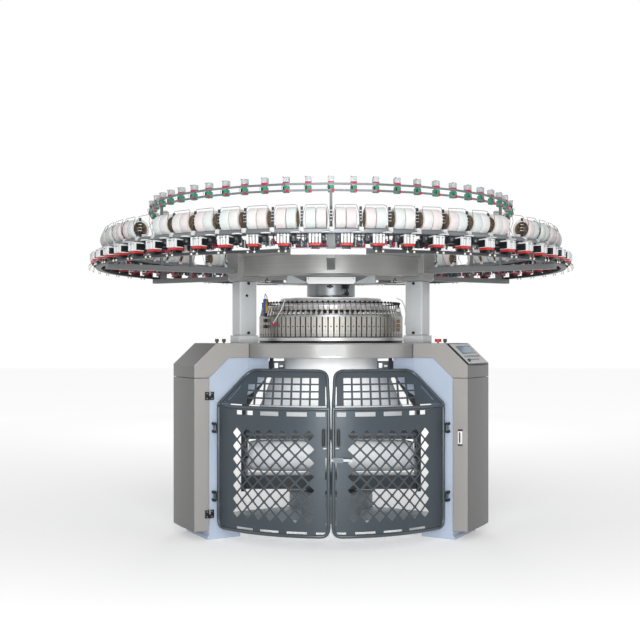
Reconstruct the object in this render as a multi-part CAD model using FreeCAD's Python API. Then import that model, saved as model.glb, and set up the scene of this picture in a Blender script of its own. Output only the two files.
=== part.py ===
"""Large-diameter circular knitting machine: three legs, knitting head, crown and yarn creel.

Units are millimetres. The origin lies on the floor under the cylinder axis, +Z is up and the
front gates face -Y. Legs stand at 210, 330 and 90 degrees round the axis.
"""
import FreeCAD, Part
import math
import os

from FreeCAD import Base

os.makedirs("parts", exist_ok=True)

# Driving dimensions -----------------------------------------------------------------------
CYLINDER_D = 762.0            # needle cylinder, 30 inch
CYLINDER_WALL = 19.0
RUN_GAP = 2.0                 # clearance round parts that rotate
SEAT = 0.3                    # light contact gap between pieces of different bodies
SHEET = 3.0                   # folded sheet and gate panel thickness

LEG_ANGLES = {"left": 210.0, "right": 330.0, "rear": 90.0}
FRONT_SIDE = {"left": 1.0, "right": -1.0}   # which side of these legs faces the front
GATE_R = 870.0                # the gates' sheet, round the machine's axis
LEG_HALF_W = 160.0            # half width of a leg casting
LEG_PAST_GATE = 24.0
LEG_DEPTH = 120.0
LEG_OUTER_R = GATE_R + LEG_PAST_GATE
LEG_INNER_R = LEG_OUTER_R - LEG_DEPTH
LEG_SHOULDER_Z = 924.0        # where the outer edge starts to slope to the bed
LEG_ARM_H = 70.0              # depth of the arm under the bed at its tip
LEG_KNEE = 30.0
FOOT_TOE_R = LEG_INNER_R - 74.0
FOOT_H = 26.0
FOOT_LIP = 12.0
FOOT_RISE = 66.0

TABLE_R = 665.0
LEG_REACH_R = TABLE_R - 20.0  # inner end of the leg's top arm
TABLE_TOP = 1120.0
TABLE_T = 85.0
TABLE_FLANGE_T = 14.0
TABLE_CHAMFER = 6.0
TABLE_CAVITY_R = 470.0
TABLE_LEDGE_R = 396.0           # inner edge of the ledge that carries the bearing
TABLE_LEDGE_T = 18.0
BEARING_W = 24.0

COVER_HALF_W = 165.0
COVER_DEPTH = 100.0
COVER_OUTER_R = LEG_OUTER_R + COVER_DEPTH
COVER_SLOPE_R = COVER_OUTER_R - 143.0   # where the flat top turns into the slope
COVER_SLOPE_Z = 989.0         # where the slope meets the outer face
OUTER_BULGE = 8.0             # how far the outer faces bow outward
DOOR_BOTTOM = 54.0
DOOR_GAP = 3.0
HINGE_Z = (148.0, 820.0)
HINGE_H = 46.0
HINGE_LEAF_W = 26.0
HINGE_T = 4.0
HINGE_KNUCKLE_R = 5.0
HINGE_PIN_R = 2.5
HINGE_SLACK = 0.1

GATE_STAND_OFF = 20.9         # outer edge of the gate in front of the leg's face
GATE_EDGE_DEG = 60.0 - math.degrees(math.asin((LEG_HALF_W + GATE_STAND_OFF) / GATE_R))
GATE_TOP_EDGE_DEG = GATE_EDGE_DEG - 3.0
GATE_TOP_R = GATE_R - 210.0
GATE_BOTTOM = 65.0
GATE_WAIST_Z = 775.0
GATE_TOP_Z = 974.0
GATE_BAR = 20.0
GATE_GAP = 4.0                # between the two gates
GATE_CORNER = 55.0
GATE_FACETS = 6               # narrow flats that the bent sheet is pressed in
GATE_KNUCKLE_R = 9.0
GATE_KNUCKLE_H = 30.0
GATE_LUG_H = 14.0
GATE_PIN_R = 5.0
GATE_HINGE_Z = (250.0, 640.0)
GATE_HINGE_OUT = 26.0         # hinge axis outboard of the edge bar
PULL_DEG = 2.6                # place of the pull handle beside the gates' meeting edge
PULL_Z = 613.0
PULL_H = 94.0
PULL_W = 15.0
PULL_T = 13.0
HANDLE_BAR_R = GATE_R + 28.0
LATCH_Z = 492.0
LATCH_H = 14.0
LATCH_T = 12.0
LATCH_WALL = 4.0
LATCH_BLOCK_X = (12.0, 66.0)  # ends of the guide block, from the gates' meeting line
LATCH_BLOCK_OVER = 7.0
LATCH_BOLT_X = (4.0, 118.0)
LATCH_KNOB_X = (100.0, 114.0)
LATCH_KNOB_OUT = 18.0
CATCH_X = 297.0
CATCH_W = 62.0
CATCH_T = 32.0
DIAMOND_W = 73.0
DIAMOND_H = 74.0
LATTICE_BAR = 9.0
LATTICE_COLUMNS = 6
LATTICE_ROWS = 7
LATTICE_Z = 130.0             # lowest point of the lattice
GRID_HOLE = 38.0
GRID_PITCH = 51.0
GRID_ROWS = 4
GRID_COLUMNS = 9
SLOT_H = 24.0

COLUMN_R = 600.0
COLUMN_S = 112.0
COLUMN_CORNER = 9.0
BLOCK_S = 128.0
BLOCK_H = 46.0
HEAD_S = 153.0
HEAD_LIP_H = 42.0
CROWN_R = 660.0
CROWN_IN_R = 530.0
CROWN_BOTTOM = 1515.0
CROWN_TOP = 1660.0
CROWN_FLANGE_H = 32.0
CROWN_FLANGE_OUT = 14.0
HEAD_BOTTOM = 1488.0

HUB_R = 151.0
HUB_BOTTOM = 1412.0
ARM_W = 70.0
ARM_H = 42.0
PLATE_W = 306.0
PLATE_H = 50.0
PLATE_T = 4.0
LABEL_W = 146.0
LABEL_H = 62.0

CAM_RING_R = 460.0
CAM_RING_H = 57.0
CAM_STEPS = 84
CAM_DRUM_R = 438.0
CAM_DRUM_IN_R = 398.0
CAM_PLATE_H = 98.0
CAM_PLATE_T = 14.0
CAM_PLATE_GAP = 6.0
GUIDE_RING_H = 10.0
GUIDE_RING_R = 452.0
GUIDE_H = 86.0

GEAR_TEETH = 72
PINION_TEETH = 12
GEAR_MODULE = 12.0
GEAR_H = 36.0
GEAR_IN_R = 330.0
GEAR_SLACK = 0.10             # share of the pitch left free on each flank
DRIVE_ANGLE = 60.0
SHAFT_R = 17.0
MOTOR_R = 78.0
MOTOR_H = 230.0
MOTOR_FINS = 8
MOTOR_PLATE_T = 8.0
MOTOR_ORBIT = 660.0
PULLEY_H = 30.0
PULLEY_R = 52.0
BELT_T = 5.0

DIAL_R = 374.0
DIAL_T = 26.0
DIAL_SHAFT_R = 45.0

ROLL_LENGTH = 1030.0          # wound width of the fabric
ROLL_END_GAP = 18.0           # between the roll and a side frame
FRAME_T = 24.0
FRAME_X = ROLL_LENGTH / 2 + ROLL_END_GAP + FRAME_T / 2    # middle plane of a side frame
FRAME_BOTTOM = 200.0
FRAME_TOP = 600.0
FRAME_DEPTH = 240.0
FRAME_SHOULDER = 60.0
WINDOW_HALF_W = 40.0
HANGER_HALF_W = 60.0
HANGER_KNEE = (735.0, 700.0)  # outer and inner heights where a hanger starts to lean inward
BEAM_RAISE = 8.0              # beam above the lower ends of the side frames
BEAM_H = 84.0
BEAM_DEPTH = 150.0
ROLLER_R = 30.0
ROLLER_Z = 548.0
ROLL_R = 100.0
ROLL_Z = 410.0
ROLL_SHOULDER = 16.0
ROLL_SHAFT_R = 20.0
JOURNAL_R = 15.0
PEDESTAL_R = 262.0
PEDESTAL_TOP = 188.0
SPIDER_ARM_W = 150.0
SPIDER_ARM_TOP = 100.0
SPIDER_ARM_BOTTOM = 40.0

CREEL_POSITIONS = 60
PACKAGE_R = 57.0
PACKAGE_L = 104.0
PACKAGE_SIDES = 12            # flats of one wound package
PACKAGE_RING_R = 1360.0
PACKAGE_Z = 1736.0
RAIL_W = 84.0
RAIL_H = 22.0
FEEDER_RING_R = 1425.0
FEEDER_W = 66.0
FEEDER_TOP = 1650.0
FEEDER_H = 86.0
FEEDER_DEPTH = 78.0
FEEDER_RAIL_W = 30.0
FEEDER_RAIL_H = 14.0
CREEL_ARMS = 6
CREEL_ARM_W = 44.0
CREEL_ARM_H = 30.0
TOP_RING_R = 1120.0
TOP_RING_Z = (1905.0, 1938.0)
TOP_RING_BAR = 10.0
TOP_RING_SIDES = 30
STOP_UNITS = 30
STOP_W = 34.0
STOP_DEPTH = 40.0
STOP_TOP = 1985.0
STOP_BODY_H = 58.0
POST_S = 14.0

BUTTON_R = 11.0
BUTTON_H = 18.0
STOP_BUTTON_R = 19.0
BUTTON_TRAVEL = 6.0
STEM_R = 6.0
STEM_DEPTH = 20.0
PANEL_T = 8.0
PANEL_MARGIN = 10.0
PANEL_CORNER = 12.0
SCREEN_DEPTH = 2.0
SCREEN_RUN = (0.16, 0.48)     # share of the panel's length and half width that the screen takes
SCREEN_ACROSS = (-0.50, 0.45)
HANDLE_Z = 540.0
HANDLE_H = 92.0
HANDLE_W = 30.0
HANDLE_T = 14.0

Z_AXIS = Base.Vector(0, 0, 1)
ORIGIN = Base.Vector(0, 0, 0)
TABLE_BOTTOM = TABLE_TOP - TABLE_T
CAM_PLATE_Z = TABLE_TOP + CAM_RING_H
GUIDE_RING_Z = CAM_PLATE_Z + CAM_PLATE_H + GUIDE_RING_H
CYLINDER_R = CYLINDER_D / 2


# Small tools of the trade -----------------------------------------------------------------
def vec(x, y, z):
    return Base.Vector(x, y, z)


def turned(shape, degrees):
    copy = shape.copy()
    copy.rotate(ORIGIN, Z_AXIS, degrees)
    return copy


def moved(shape, x, y, z):
    copy = shape.copy()
    copy.translate(vec(x, y, z))
    return copy


def box(x0, x1, y0, y1, z0, z1):
    return Part.makeBox(x1 - x0, y1 - y0, z1 - z0, vec(x0, y0, z0))


def rod(radius, z0, z1, x=0.0, y=0.0):
    return Part.makeCylinder(radius, z1 - z0, vec(x, y, z0))


def ring(r_in, r_out, z0, z1):
    return rod(r_out, z0, z1).cut(rod(r_in, z0 - 1, z1 + 1))


def side_profile(points, half_w, y=0.0):
    """A plate whose outline lies in the radial plane, as wide as 2 * half_w."""
    corners = [vec(r, y - half_w, z) for r, z in points]
    face = Part.Face(Part.makePolygon(corners + corners[:1]))
    return face.extrude(vec(0, 2 * half_w, 0))


def plan_profile(points, z0, z1):
    corners = [vec(x, y, z0) for x, y in points]
    face = Part.Face(Part.makePolygon(corners + corners[:1]))
    return face.extrude(vec(0, 0, z1 - z0))


def revolved(points, degrees=360.0):
    corners = [vec(r, 0, z) for r, z in points]
    face = Part.Face(Part.makePolygon(corners + corners[:1]))
    return face.revolve(ORIGIN, Z_AXIS, degrees)


def one_solid(shape):
    """The single solid of a boolean result, free of seams."""
    clean = shape.removeSplitter()
    return clean.Solids[0] if len(clean.Solids) == 1 else clean


def on_circle(count, start=0.0):
    return [start + 360.0 * i / count for i in range(count)]


def polygon_ring(r_mid, width, z0, z1, sides):
    def outline(radius):
        half_step = math.pi / sides
        return [
            (radius / math.cos(half_step) * math.cos(2 * math.pi * (i + 0.5) / sides),
             radius / math.cos(half_step) * math.sin(2 * math.pi * (i + 0.5) / sides))
            for i in range(sides)
        ]

    outer = plan_profile(outline(r_mid + width / 2), z0, z1)
    return outer.cut(plan_profile(outline(r_mid - width / 2), z0 - 1, z1 + 1))


def write(name, shape):
    shape.exportStep(os.path.join("parts", name + ".step"))


# Base, legs and bed -----------------------------------------------------------------------
def base_spider():
    """Round pedestal with three arms that run out to the legs."""
    body = rod(PEDESTAL_R, FOOT_H, PEDESTAL_TOP - SEAT)
    for angle in LEG_ANGLES.values():
        arm = box(0, LEG_INNER_R, -SPIDER_ARM_W / 2, SPIDER_ARM_W / 2, SPIDER_ARM_BOTTOM, SPIDER_ARM_TOP)
        body = body.fuse(turned(arm.cut(leg()), angle))
    return one_solid(body)


def leg():
    outline = [
        (FOOT_TOE_R, 0), (LEG_OUTER_R + FOOT_LIP, 0), (LEG_OUTER_R + FOOT_LIP, FOOT_H / 2),
        (LEG_OUTER_R, FOOT_H), (LEG_OUTER_R, LEG_SHOULDER_Z),
        (LEG_INNER_R, TABLE_BOTTOM), (LEG_REACH_R, TABLE_BOTTOM),
        (LEG_REACH_R, TABLE_BOTTOM - LEG_ARM_H), (LEG_INNER_R - LEG_KNEE, LEG_SHOULDER_Z - 4 * LEG_KNEE),
        (LEG_INNER_R, LEG_SHOULDER_Z - 4 * LEG_KNEE - LEG_ARM_H), (LEG_INNER_R, FOOT_H + FOOT_RISE),
        (LEG_INNER_R - FOOT_H, FOOT_H + FOOT_RISE / 3), (FOOT_TOE_R, FOOT_H),
    ]
    return side_profile(outline, LEG_HALF_W)


def cover_outline():
    return [
        (LEG_REACH_R + SHEET, TABLE_BOTTOM), (LEG_REACH_R + SHEET, TABLE_TOP),
        (COVER_SLOPE_R, TABLE_TOP), (COVER_OUTER_R, COVER_SLOPE_Z), (COVER_OUTER_R, LEG_SHOULDER_Z),
        (LEG_OUTER_R, LEG_SHOULDER_Z), (LEG_INNER_R, TABLE_BOTTOM),
    ]


def bowed_outline(r_in, r_out, half_w, bulge):
    """Plan outline of a cabinet slice whose outer face bows outward as one arc."""
    arc = Part.Arc(vec(r_out, -half_w, 0), vec(r_out + bulge, 0, 0), vec(r_out, half_w, 0)).toShape()
    sides = Part.makePolygon([vec(r_out, half_w, 0), vec(r_in, half_w, 0),
                              vec(r_in, -half_w, 0), vec(r_out, -half_w, 0)])
    return Part.Face(Part.Wire([arc] + sides.Edges))


def top_cover(button_places):
    cap = side_profile(cover_outline(), COVER_HALF_W)
    crown_face = bowed_outline(LEG_REACH_R / 2, COVER_OUTER_R - OUTER_BULGE, COVER_HALF_W, OUTER_BULGE)
    cap = cap.common(crown_face.extrude(vec(0, 0, TABLE_TOP * 2)))
    cap = cap.cut(rod(TABLE_R + SEAT, 0, TABLE_TOP * 2))
    for x, y in button_places:
        cap = cap.cut(rod(STEM_R + SEAT, TABLE_TOP - STEM_DEPTH - BUTTON_TRAVEL - 1, TABLE_TOP + 1, x, y))
    return one_solid(cap)


def door():
    """U-shaped folded door round the outside of a leg, with its hinge leaves on one flank."""
    top = LEG_SHOULDER_Z - DOOR_GAP
    r_in = LEG_OUTER_R + DOOR_GAP
    outside = bowed_outline(r_in, COVER_OUTER_R - OUTER_BULGE, COVER_HALF_W, OUTER_BULGE)
    inside = bowed_outline(r_in - SHEET, COVER_OUTER_R - OUTER_BULGE - SHEET,
                           COVER_HALF_W - SHEET, OUTER_BULGE)
    shell = moved(outside.extrude(vec(0, 0, top - DOOR_BOTTOM)), 0, 0, DOOR_BOTTOM)
    hollow = moved(inside.extrude(vec(0, 0, top - DOOR_BOTTOM - 2 * SHEET)), 0, 0, DOOR_BOTTOM + SHEET)
    shell = shell.cut(hollow)
    x, y = door_hinge_axis()
    for z in HINGE_Z:
        leaf = box(r_in, r_in + HINGE_LEAF_W, COVER_HALF_W, COVER_HALF_W + HINGE_T,
                   z - HINGE_H / 2, z + HINGE_H / 2)
        tab = box(x, r_in + HINGE_T, COVER_HALF_W + 1, y, z + SEAT, z + HINGE_H / 2)
        knuckle = rod(HINGE_KNUCKLE_R, z + SEAT, z + HINGE_H / 2, x, y)
        bore = rod(HINGE_PIN_R + HINGE_SLACK, z, z + HINGE_H / 2 + 1, x, y)
        shell = shell.fuse(leaf).fuse(tab).fuse(knuckle).cut(bore)
    return one_solid(shell)


def door_hinge_axis():
    return (LEG_OUTER_R + DOOR_GAP / 2, COVER_HALF_W + HINGE_T + HINGE_KNUCKLE_R)


def fixed_leaves():
    """Leaves on the leg; the lower half of each knuckle holds the pin."""
    x, y = door_hinge_axis()
    solids = []
    for z in HINGE_Z:
        leaf = box(LEG_OUTER_R - HINGE_LEAF_W, LEG_OUTER_R, LEG_HALF_W, COVER_HALF_W + HINGE_T,
                   z - HINGE_H / 2, z + HINGE_H / 2)
        tab = box(LEG_OUTER_R - HINGE_T, x, COVER_HALF_W + 1, y, z - HINGE_H / 2, z)
        knuckle = rod(HINGE_KNUCKLE_R, z - HINGE_H / 2, z, x, y)
        pin = rod(HINGE_PIN_R, z - 1, z + HINGE_H / 2, x, y)
        solids.append(one_solid(leaf.fuse(tab).fuse(knuckle).fuse(pin)))
    return solids


def table_bed():
    """Round bed casting: thin upper flange, ledge below for the bearing, rim outside."""
    bed = revolved([
        (CAM_DRUM_IN_R, TABLE_TOP - TABLE_FLANGE_T), (TABLE_CAVITY_R, TABLE_TOP - TABLE_FLANGE_T),
        (TABLE_CAVITY_R, TABLE_BOTTOM + TABLE_LEDGE_T), (TABLE_LEDGE_R, TABLE_BOTTOM + TABLE_LEDGE_T),
        (TABLE_LEDGE_R, TABLE_BOTTOM), (TABLE_R, TABLE_BOTTOM),
        (TABLE_R, TABLE_TOP - TABLE_CHAMFER), (TABLE_R - TABLE_CHAMFER, TABLE_TOP),
        (CAM_DRUM_IN_R, TABLE_TOP),
    ])
    x, y = drive_centre()
    pocket = rod(pinion_tip_r() + 3 * RUN_GAP, TABLE_BOTTOM - 1, TABLE_TOP - TABLE_FLANGE_T, x, y)
    bearing_bore = rod(SHAFT_R + HINGE_SLACK, TABLE_TOP - TABLE_FLANGE_T - 1, shaft_top() + SEAT, x, y)
    return one_solid(bed.cut(pocket).cut(bearing_bore).fuse(gate_catches()))


def slewing_bearing():
    """Flat ball race under the ring gear."""
    r_in = TABLE_LEDGE_R + RUN_GAP
    return ring(r_in, r_in + BEARING_W, TABLE_BOTTOM + TABLE_LEDGE_T, gear_z() - SEAT)


def shaft_top():
    return TABLE_TOP - RUN_GAP * 2


# Knitting head ----------------------------------------------------------------------------
def cam_ring():
    """Ring under the cam boxes, its outer edge coned towards them."""
    z0 = TABLE_TOP
    body = revolved([(CAM_DRUM_IN_R, z0), (CAM_RING_R, z0), (CAM_RING_R, z0 + CAM_RING_H * 0.62),
                     (CAM_RING_R - 10, z0 + CAM_RING_H), (CAM_DRUM_IN_R, z0 + CAM_RING_H)])
    return one_solid(body)


def cam_drum():
    return ring(CAM_DRUM_IN_R, CAM_DRUM_R, CAM_PLATE_Z, GUIDE_RING_Z - GUIDE_RING_H)


def cam_plates():
    pitch = 2 * math.pi * CAM_DRUM_R / CAM_STEPS
    half = (pitch - CAM_PLATE_GAP) / 2
    flat = CAM_DRUM_R
    plate = box(flat, flat + CAM_PLATE_T, -half, half, CAM_PLATE_Z, CAM_PLATE_Z + CAM_PLATE_H)
    return [turned(plate, angle) for angle in on_circle(CAM_STEPS)]


def guide_ring():
    return ring(CAM_DRUM_IN_R, GUIDE_RING_R, GUIDE_RING_Z - GUIDE_RING_H, GUIDE_RING_Z)


def yarn_guides():
    """Leaning feeder fingers that lead each yarn down to the needles."""
    r = GUIDE_RING_R
    z = GUIDE_RING_Z
    finger = side_profile([(r - 8, z), (r, z), (r - 14, z + GUIDE_H), (r - 22, z + GUIDE_H)], 7)
    return [turned(finger, angle) for angle in on_circle(CAM_STEPS)]


def needle_cylinder():
    z0 = TABLE_TOP - TABLE_FLANGE_T - GEAR_H + RUN_GAP
    return ring(CYLINDER_R - CYLINDER_WALL, CYLINDER_R, z0, GUIDE_RING_Z + GUIDE_RING_H)


def gear_z():
    return TABLE_TOP - TABLE_FLANGE_T - RUN_GAP - GEAR_H


def tooth_outline(teeth, r_pitch, phase):
    """Straight-flanked teeth round a blank; each flank gives up GEAR_SLACK of the pitch."""
    add = 0.8 * GEAR_MODULE
    ded = 1.1 * GEAR_MODULE
    step = 360.0 / teeth
    slope = math.tan(math.radians(20)) / r_pitch
    half = math.radians(step) * (0.25 - GEAR_SLACK / 2)
    points = []
    for i in range(teeth):
        mid = math.radians(phase + i * step)
        for r, grow in ((r_pitch - ded, ded * slope), (r_pitch + add, -add * slope)):
            points.append((r, mid - half - grow))
        for r, grow in ((r_pitch + add, -add * slope), (r_pitch - ded, ded * slope)):
            points.append((r, mid + half + grow))
    return [(r * math.cos(a), r * math.sin(a)) for r, a in points]


def gear_pitch_r(teeth):
    return GEAR_MODULE * teeth / 2


def pinion_tip_r():
    return gear_pitch_r(PINION_TEETH) + 0.8 * GEAR_MODULE


def drive_centre():
    orbit = gear_pitch_r(GEAR_TEETH) + gear_pitch_r(PINION_TEETH)
    a = math.radians(DRIVE_ANGLE)
    return orbit * math.cos(a), orbit * math.sin(a)


def ring_gear():
    z0 = gear_z()
    blank = plan_profile(tooth_outline(GEAR_TEETH, gear_pitch_r(GEAR_TEETH), DRIVE_ANGLE), z0, z0 + GEAR_H)
    gear = blank.cut(rod(GEAR_IN_R, z0 - 1, z0 + GEAR_H + 1))
    seat = needle_cylinder()
    return one_solid(gear.cut(seat))


def drive_shaft():
    """Upright shaft: pinion above, toothed belt pulley below."""
    x, y = drive_centre()
    z0 = gear_z()
    half_step = 180.0 / PINION_TEETH
    teeth = tooth_outline(PINION_TEETH, gear_pitch_r(PINION_TEETH), DRIVE_ANGLE + half_step)
    pinion = moved(plan_profile(teeth, z0, z0 + GEAR_H), x, y, 0)
    shaft = rod(SHAFT_R, pulley_z(), shaft_top(), x, y)
    pulley = rod(PULLEY_R, pulley_z(), pulley_z() + PULLEY_H, x, y)
    return one_solid(pinion.fuse(shaft).fuse(pulley))


def pulley_z():
    return TABLE_BOTTOM - PULLEY_H - 8


def motor_centre():
    a = math.radians(DRIVE_ANGLE)
    return MOTOR_ORBIT * math.cos(a), MOTOR_ORBIT * math.sin(a)


def motor():
    """Finned drive motor on its flange, hung under the bed."""
    x, y = motor_centre()
    top = pulley_z() - 12
    can = rod(MOTOR_R, top - MOTOR_H, top)
    fin = box(MOTOR_R - 4, MOTOR_R + 8, -3, 3, top - MOTOR_H + 30, top - 30)
    can = moved(can.fuse([turned(fin, a) for a in on_circle(MOTOR_FINS)]), x, y, 0)
    plate_top = top + MOTOR_PLATE_T
    half = MOTOR_R + 20
    plate = box(MOTOR_ORBIT - MOTOR_R, MOTOR_ORBIT + 30, -half, half, top, plate_top)
    across = MOTOR_R + 10
    for side in (-across, across):
        hanger = box(MOTOR_ORBIT - 40, MOTOR_ORBIT - 10, side - 8, side + 8, plate_top, TABLE_BOTTOM)
        plate = plate.fuse(hanger)
    shaft_hole = rod(SHAFT_R, top - 1, plate_top + 1, x, y)
    return one_solid(can.fuse(turned(plate, DRIVE_ANGLE)).cut(shaft_hole))


def motor_pulley():
    x, y = motor_centre()
    top = pulley_z() - 12
    wheel = rod(PULLEY_R, pulley_z(), pulley_z() + PULLEY_H, x, y)
    spindle = rod(SHAFT_R - SEAT, top - 1, pulley_z(), x, y)
    return one_solid(wheel.fuse(spindle))


def drive_belt():
    """Flat loop round both pulleys, open inside."""
    orbit = math.hypot(*drive_centre())
    z0 = pulley_z() + 4
    z1 = pulley_z() + PULLEY_H - 4

    def loop(r, low, high):
        straight = box(orbit, MOTOR_ORBIT, -r, r, low, high)
        return straight.fuse(rod(r, low, high, orbit, 0)).fuse(rod(r, low, high, MOTOR_ORBIT, 0))

    belt = loop(PULLEY_R + SEAT + BELT_T, z0, z1).cut(loop(PULLEY_R + SEAT, z0 - 1, z1 + 1))
    return turned(one_solid(belt), DRIVE_ANGLE)


def dial():
    """Upper needle plate on its shaft, hung from the hub."""
    top = GUIDE_RING_Z + 60
    disc = revolved([(0, top - DIAL_T), (DIAL_R, top - DIAL_T), (DIAL_R, top),
                     (DIAL_SHAFT_R * 2.5, top + 14), (0, top + 14)])
    shaft = rod(DIAL_SHAFT_R, top, HUB_BOTTOM + 60 - SEAT)
    return one_solid(disc.fuse(shaft))


# Take-down under the cylinder -------------------------------------------------------------
def takedown_arms():
    """Two hangers bolted under the ring gear that carry the side frames."""
    top_in = GEAR_IN_R + 10
    top_out = TABLE_LEDGE_R - 12
    out_x = FRAME_X + FRAME_T / 2
    in_x = FRAME_X - FRAME_T / 2
    knee_out, knee_in = HANGER_KNEE
    outline = [(in_x, FRAME_TOP), (out_x, FRAME_TOP), (out_x, knee_out), (top_out, TABLE_BOTTOM - FRAME_T),
               (top_out, gear_z()), (top_in, gear_z()), (top_in, TABLE_BOTTOM - 1.5 * FRAME_T),
               (in_x, knee_in)]
    arm = side_profile(outline, HANGER_HALF_W)
    return [arm, arm.mirror(ORIGIN, vec(1, 0, 0))]


def side_frames():
    """Two side plates with a window and journal bores."""
    x0 = FRAME_X - FRAME_T / 2
    half = FRAME_DEPTH / 2
    corners = [(-half, FRAME_BOTTOM), (half, FRAME_BOTTOM), (half, FRAME_TOP - FRAME_SHOULDER),
               (FRAME_SHOULDER, FRAME_TOP), (-FRAME_SHOULDER, FRAME_TOP),
               (-half, FRAME_TOP - FRAME_SHOULDER)]
    wire = Part.makePolygon([vec(x0, y, z) for y, z in corners + corners[:1]])
    plate = Part.Face(wire).extrude(vec(FRAME_T, 0, 0))
    bores = [(y, z, JOURNAL_R + HINGE_SLACK) for y, z in roller_places()]
    bores.append((0, ROLL_Z, ROLL_SHAFT_R + HINGE_SLACK))
    for y, z, r in bores:
        plate = plate.cut(Part.makeCylinder(r, FRAME_T + 2, vec(x0 - 1, y, z), vec(1, 0, 0)))
    window = box(x0 - 1, x0 + FRAME_T + 1, -WINDOW_HALF_W, WINDOW_HALF_W,
                 ROLL_Z + 2 * ROLL_SHAFT_R, ROLLER_Z - 3 * JOURNAL_R)
    plate = one_solid(plate.cut(window))
    return [plate, plate.mirror(ORIGIN, vec(1, 0, 0))]


def roller_places():
    spread = 2 * ROLLER_R + RUN_GAP
    return [(-spread, ROLLER_Z), (0, ROLLER_Z), (spread, ROLLER_Z)]


def roller(y, z):
    half = FRAME_X - FRAME_T / 2 - RUN_GAP
    body = Part.makeCylinder(ROLLER_R, 2 * half, vec(-half, y, z), vec(1, 0, 0))
    reach = FRAME_X + FRAME_T / 2
    journal = Part.makeCylinder(JOURNAL_R, 2 * reach, vec(-reach, y, z), vec(1, 0, 0))
    return one_solid(body.fuse(journal))


def fabric_roll():
    """Wound roll of knitted fabric with sloping shoulders."""
    half = ROLL_LENGTH / 2
    drop = ROLL_SHOULDER
    outline = [(-half, ROLL_SHAFT_R), (-half, ROLL_R - drop), (-half + drop, ROLL_R),
               (half - drop, ROLL_R), (half, ROLL_R - drop), (half, ROLL_SHAFT_R)]
    corners = [vec(x, 0, r) for x, r in outline]
    body = Part.Face(Part.makePolygon(corners + corners[:1])).revolve(ORIGIN, vec(1, 0, 0), 360)
    return moved(body, 0, 0, ROLL_Z)


def roll_shaft():
    reach = FRAME_X + FRAME_T / 2
    return Part.makeCylinder(ROLL_SHAFT_R, 2 * reach, vec(-reach, 0, ROLL_Z), vec(1, 0, 0))


def cross_beam():
    """Box beam between the side frames that turns on the pedestal."""
    half = FRAME_X - FRAME_T / 2
    low = FRAME_BOTTOM + BEAM_RAISE
    beam = box(-half, half, -BEAM_DEPTH / 2, BEAM_DEPTH / 2, low, low + BEAM_H)
    boss = rod(PEDESTAL_R * 0.6, PEDESTAL_TOP, low + 1)
    return one_solid(beam.fuse(boss))


# Gates ------------------------------------------------------------------------------------
def gate_outline_lower(inset):
    """Rounded outline in the gate's chord plane: (across, up)."""
    mid = math.radians(GATE_EDGE_DEG / 2)
    reach = GATE_R * math.sin(mid)
    left = -reach + inset
    right = reach - GATE_GAP / 2 - inset
    return left, right, GATE_BOTTOM + inset, GATE_WAIST_Z


def rounded_prism(left, right, low, high, corner):
    """Prism through the gate along its middle direction, bottom corners rounded."""
    s = corner * (1 - math.sqrt(0.5))
    pts = [vec(left, 0, high), vec(left, 0, low + corner), vec(left + s, 0, low + s),
           vec(left + corner, 0, low), vec(right - corner, 0, low), vec(right - s, 0, low + s),
           vec(right, 0, low + corner), vec(right, 0, high)]
    left_arc = Part.Arc(pts[1], pts[2], pts[3]).toShape()
    right_arc = Part.Arc(pts[4], pts[5], pts[6]).toShape()
    lines = [Part.makeLine(pts[i], pts[j]) for i, j in ((0, 1), (3, 4), (6, 7), (7, 0))]
    wire = Part.Wire([lines[0], left_arc, lines[1], right_arc, lines[2], lines[3]])
    return Part.Face(wire).extrude(vec(0, -GATE_R * 2, 0))


def gate_arc(radius, z):
    """Points of the left gate's bend at one radius, a little past both ends."""
    reach = GATE_EDGE_DEG + 2 * GATE_EDGE_DEG / GATE_FACETS
    step = reach / (GATE_FACETS + 2)
    start = -GATE_EDGE_DEG / GATE_FACETS
    angles = [math.radians(start + i * step) for i in range(GATE_FACETS + 3)]
    return [vec(-radius * math.sin(a), -radius * math.cos(a), z) for a in angles]


def gate_section(r_in, r_out, z):
    corners = gate_arc(r_out, z) + gate_arc(r_in, z)[::-1]
    return Part.makePolygon(corners + corners[:1])


def gate_side():
    """Half space of the left gate, up to the gap between the gates."""
    return box(-2 * GATE_R, -GATE_GAP / 2, -2 * GATE_R, 0, 0, TABLE_TOP)


def gate_shell_lower(thick):
    low = GATE_BOTTOM - 1
    face = Part.Face(gate_section(GATE_R - thick / 2, GATE_R + thick / 2, low))
    return face.extrude(vec(0, 0, GATE_WAIST_Z - low))


def gate_shell_upper(thick):
    lean = math.atan2(GATE_R - GATE_TOP_R, GATE_TOP_Z - GATE_WAIST_Z)
    across = thick / 2 / math.cos(lean)
    return Part.makeLoft([gate_section(GATE_R - across, GATE_R + across, GATE_WAIST_Z),
                          gate_section(GATE_TOP_R - across, GATE_TOP_R + across, GATE_TOP_Z)], True, True)


def to_chord(shape):
    """Turn a prism drawn straight ahead so that it looks through the left gate's middle."""
    return turned(shape, -GATE_EDGE_DEG / 2)


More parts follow.
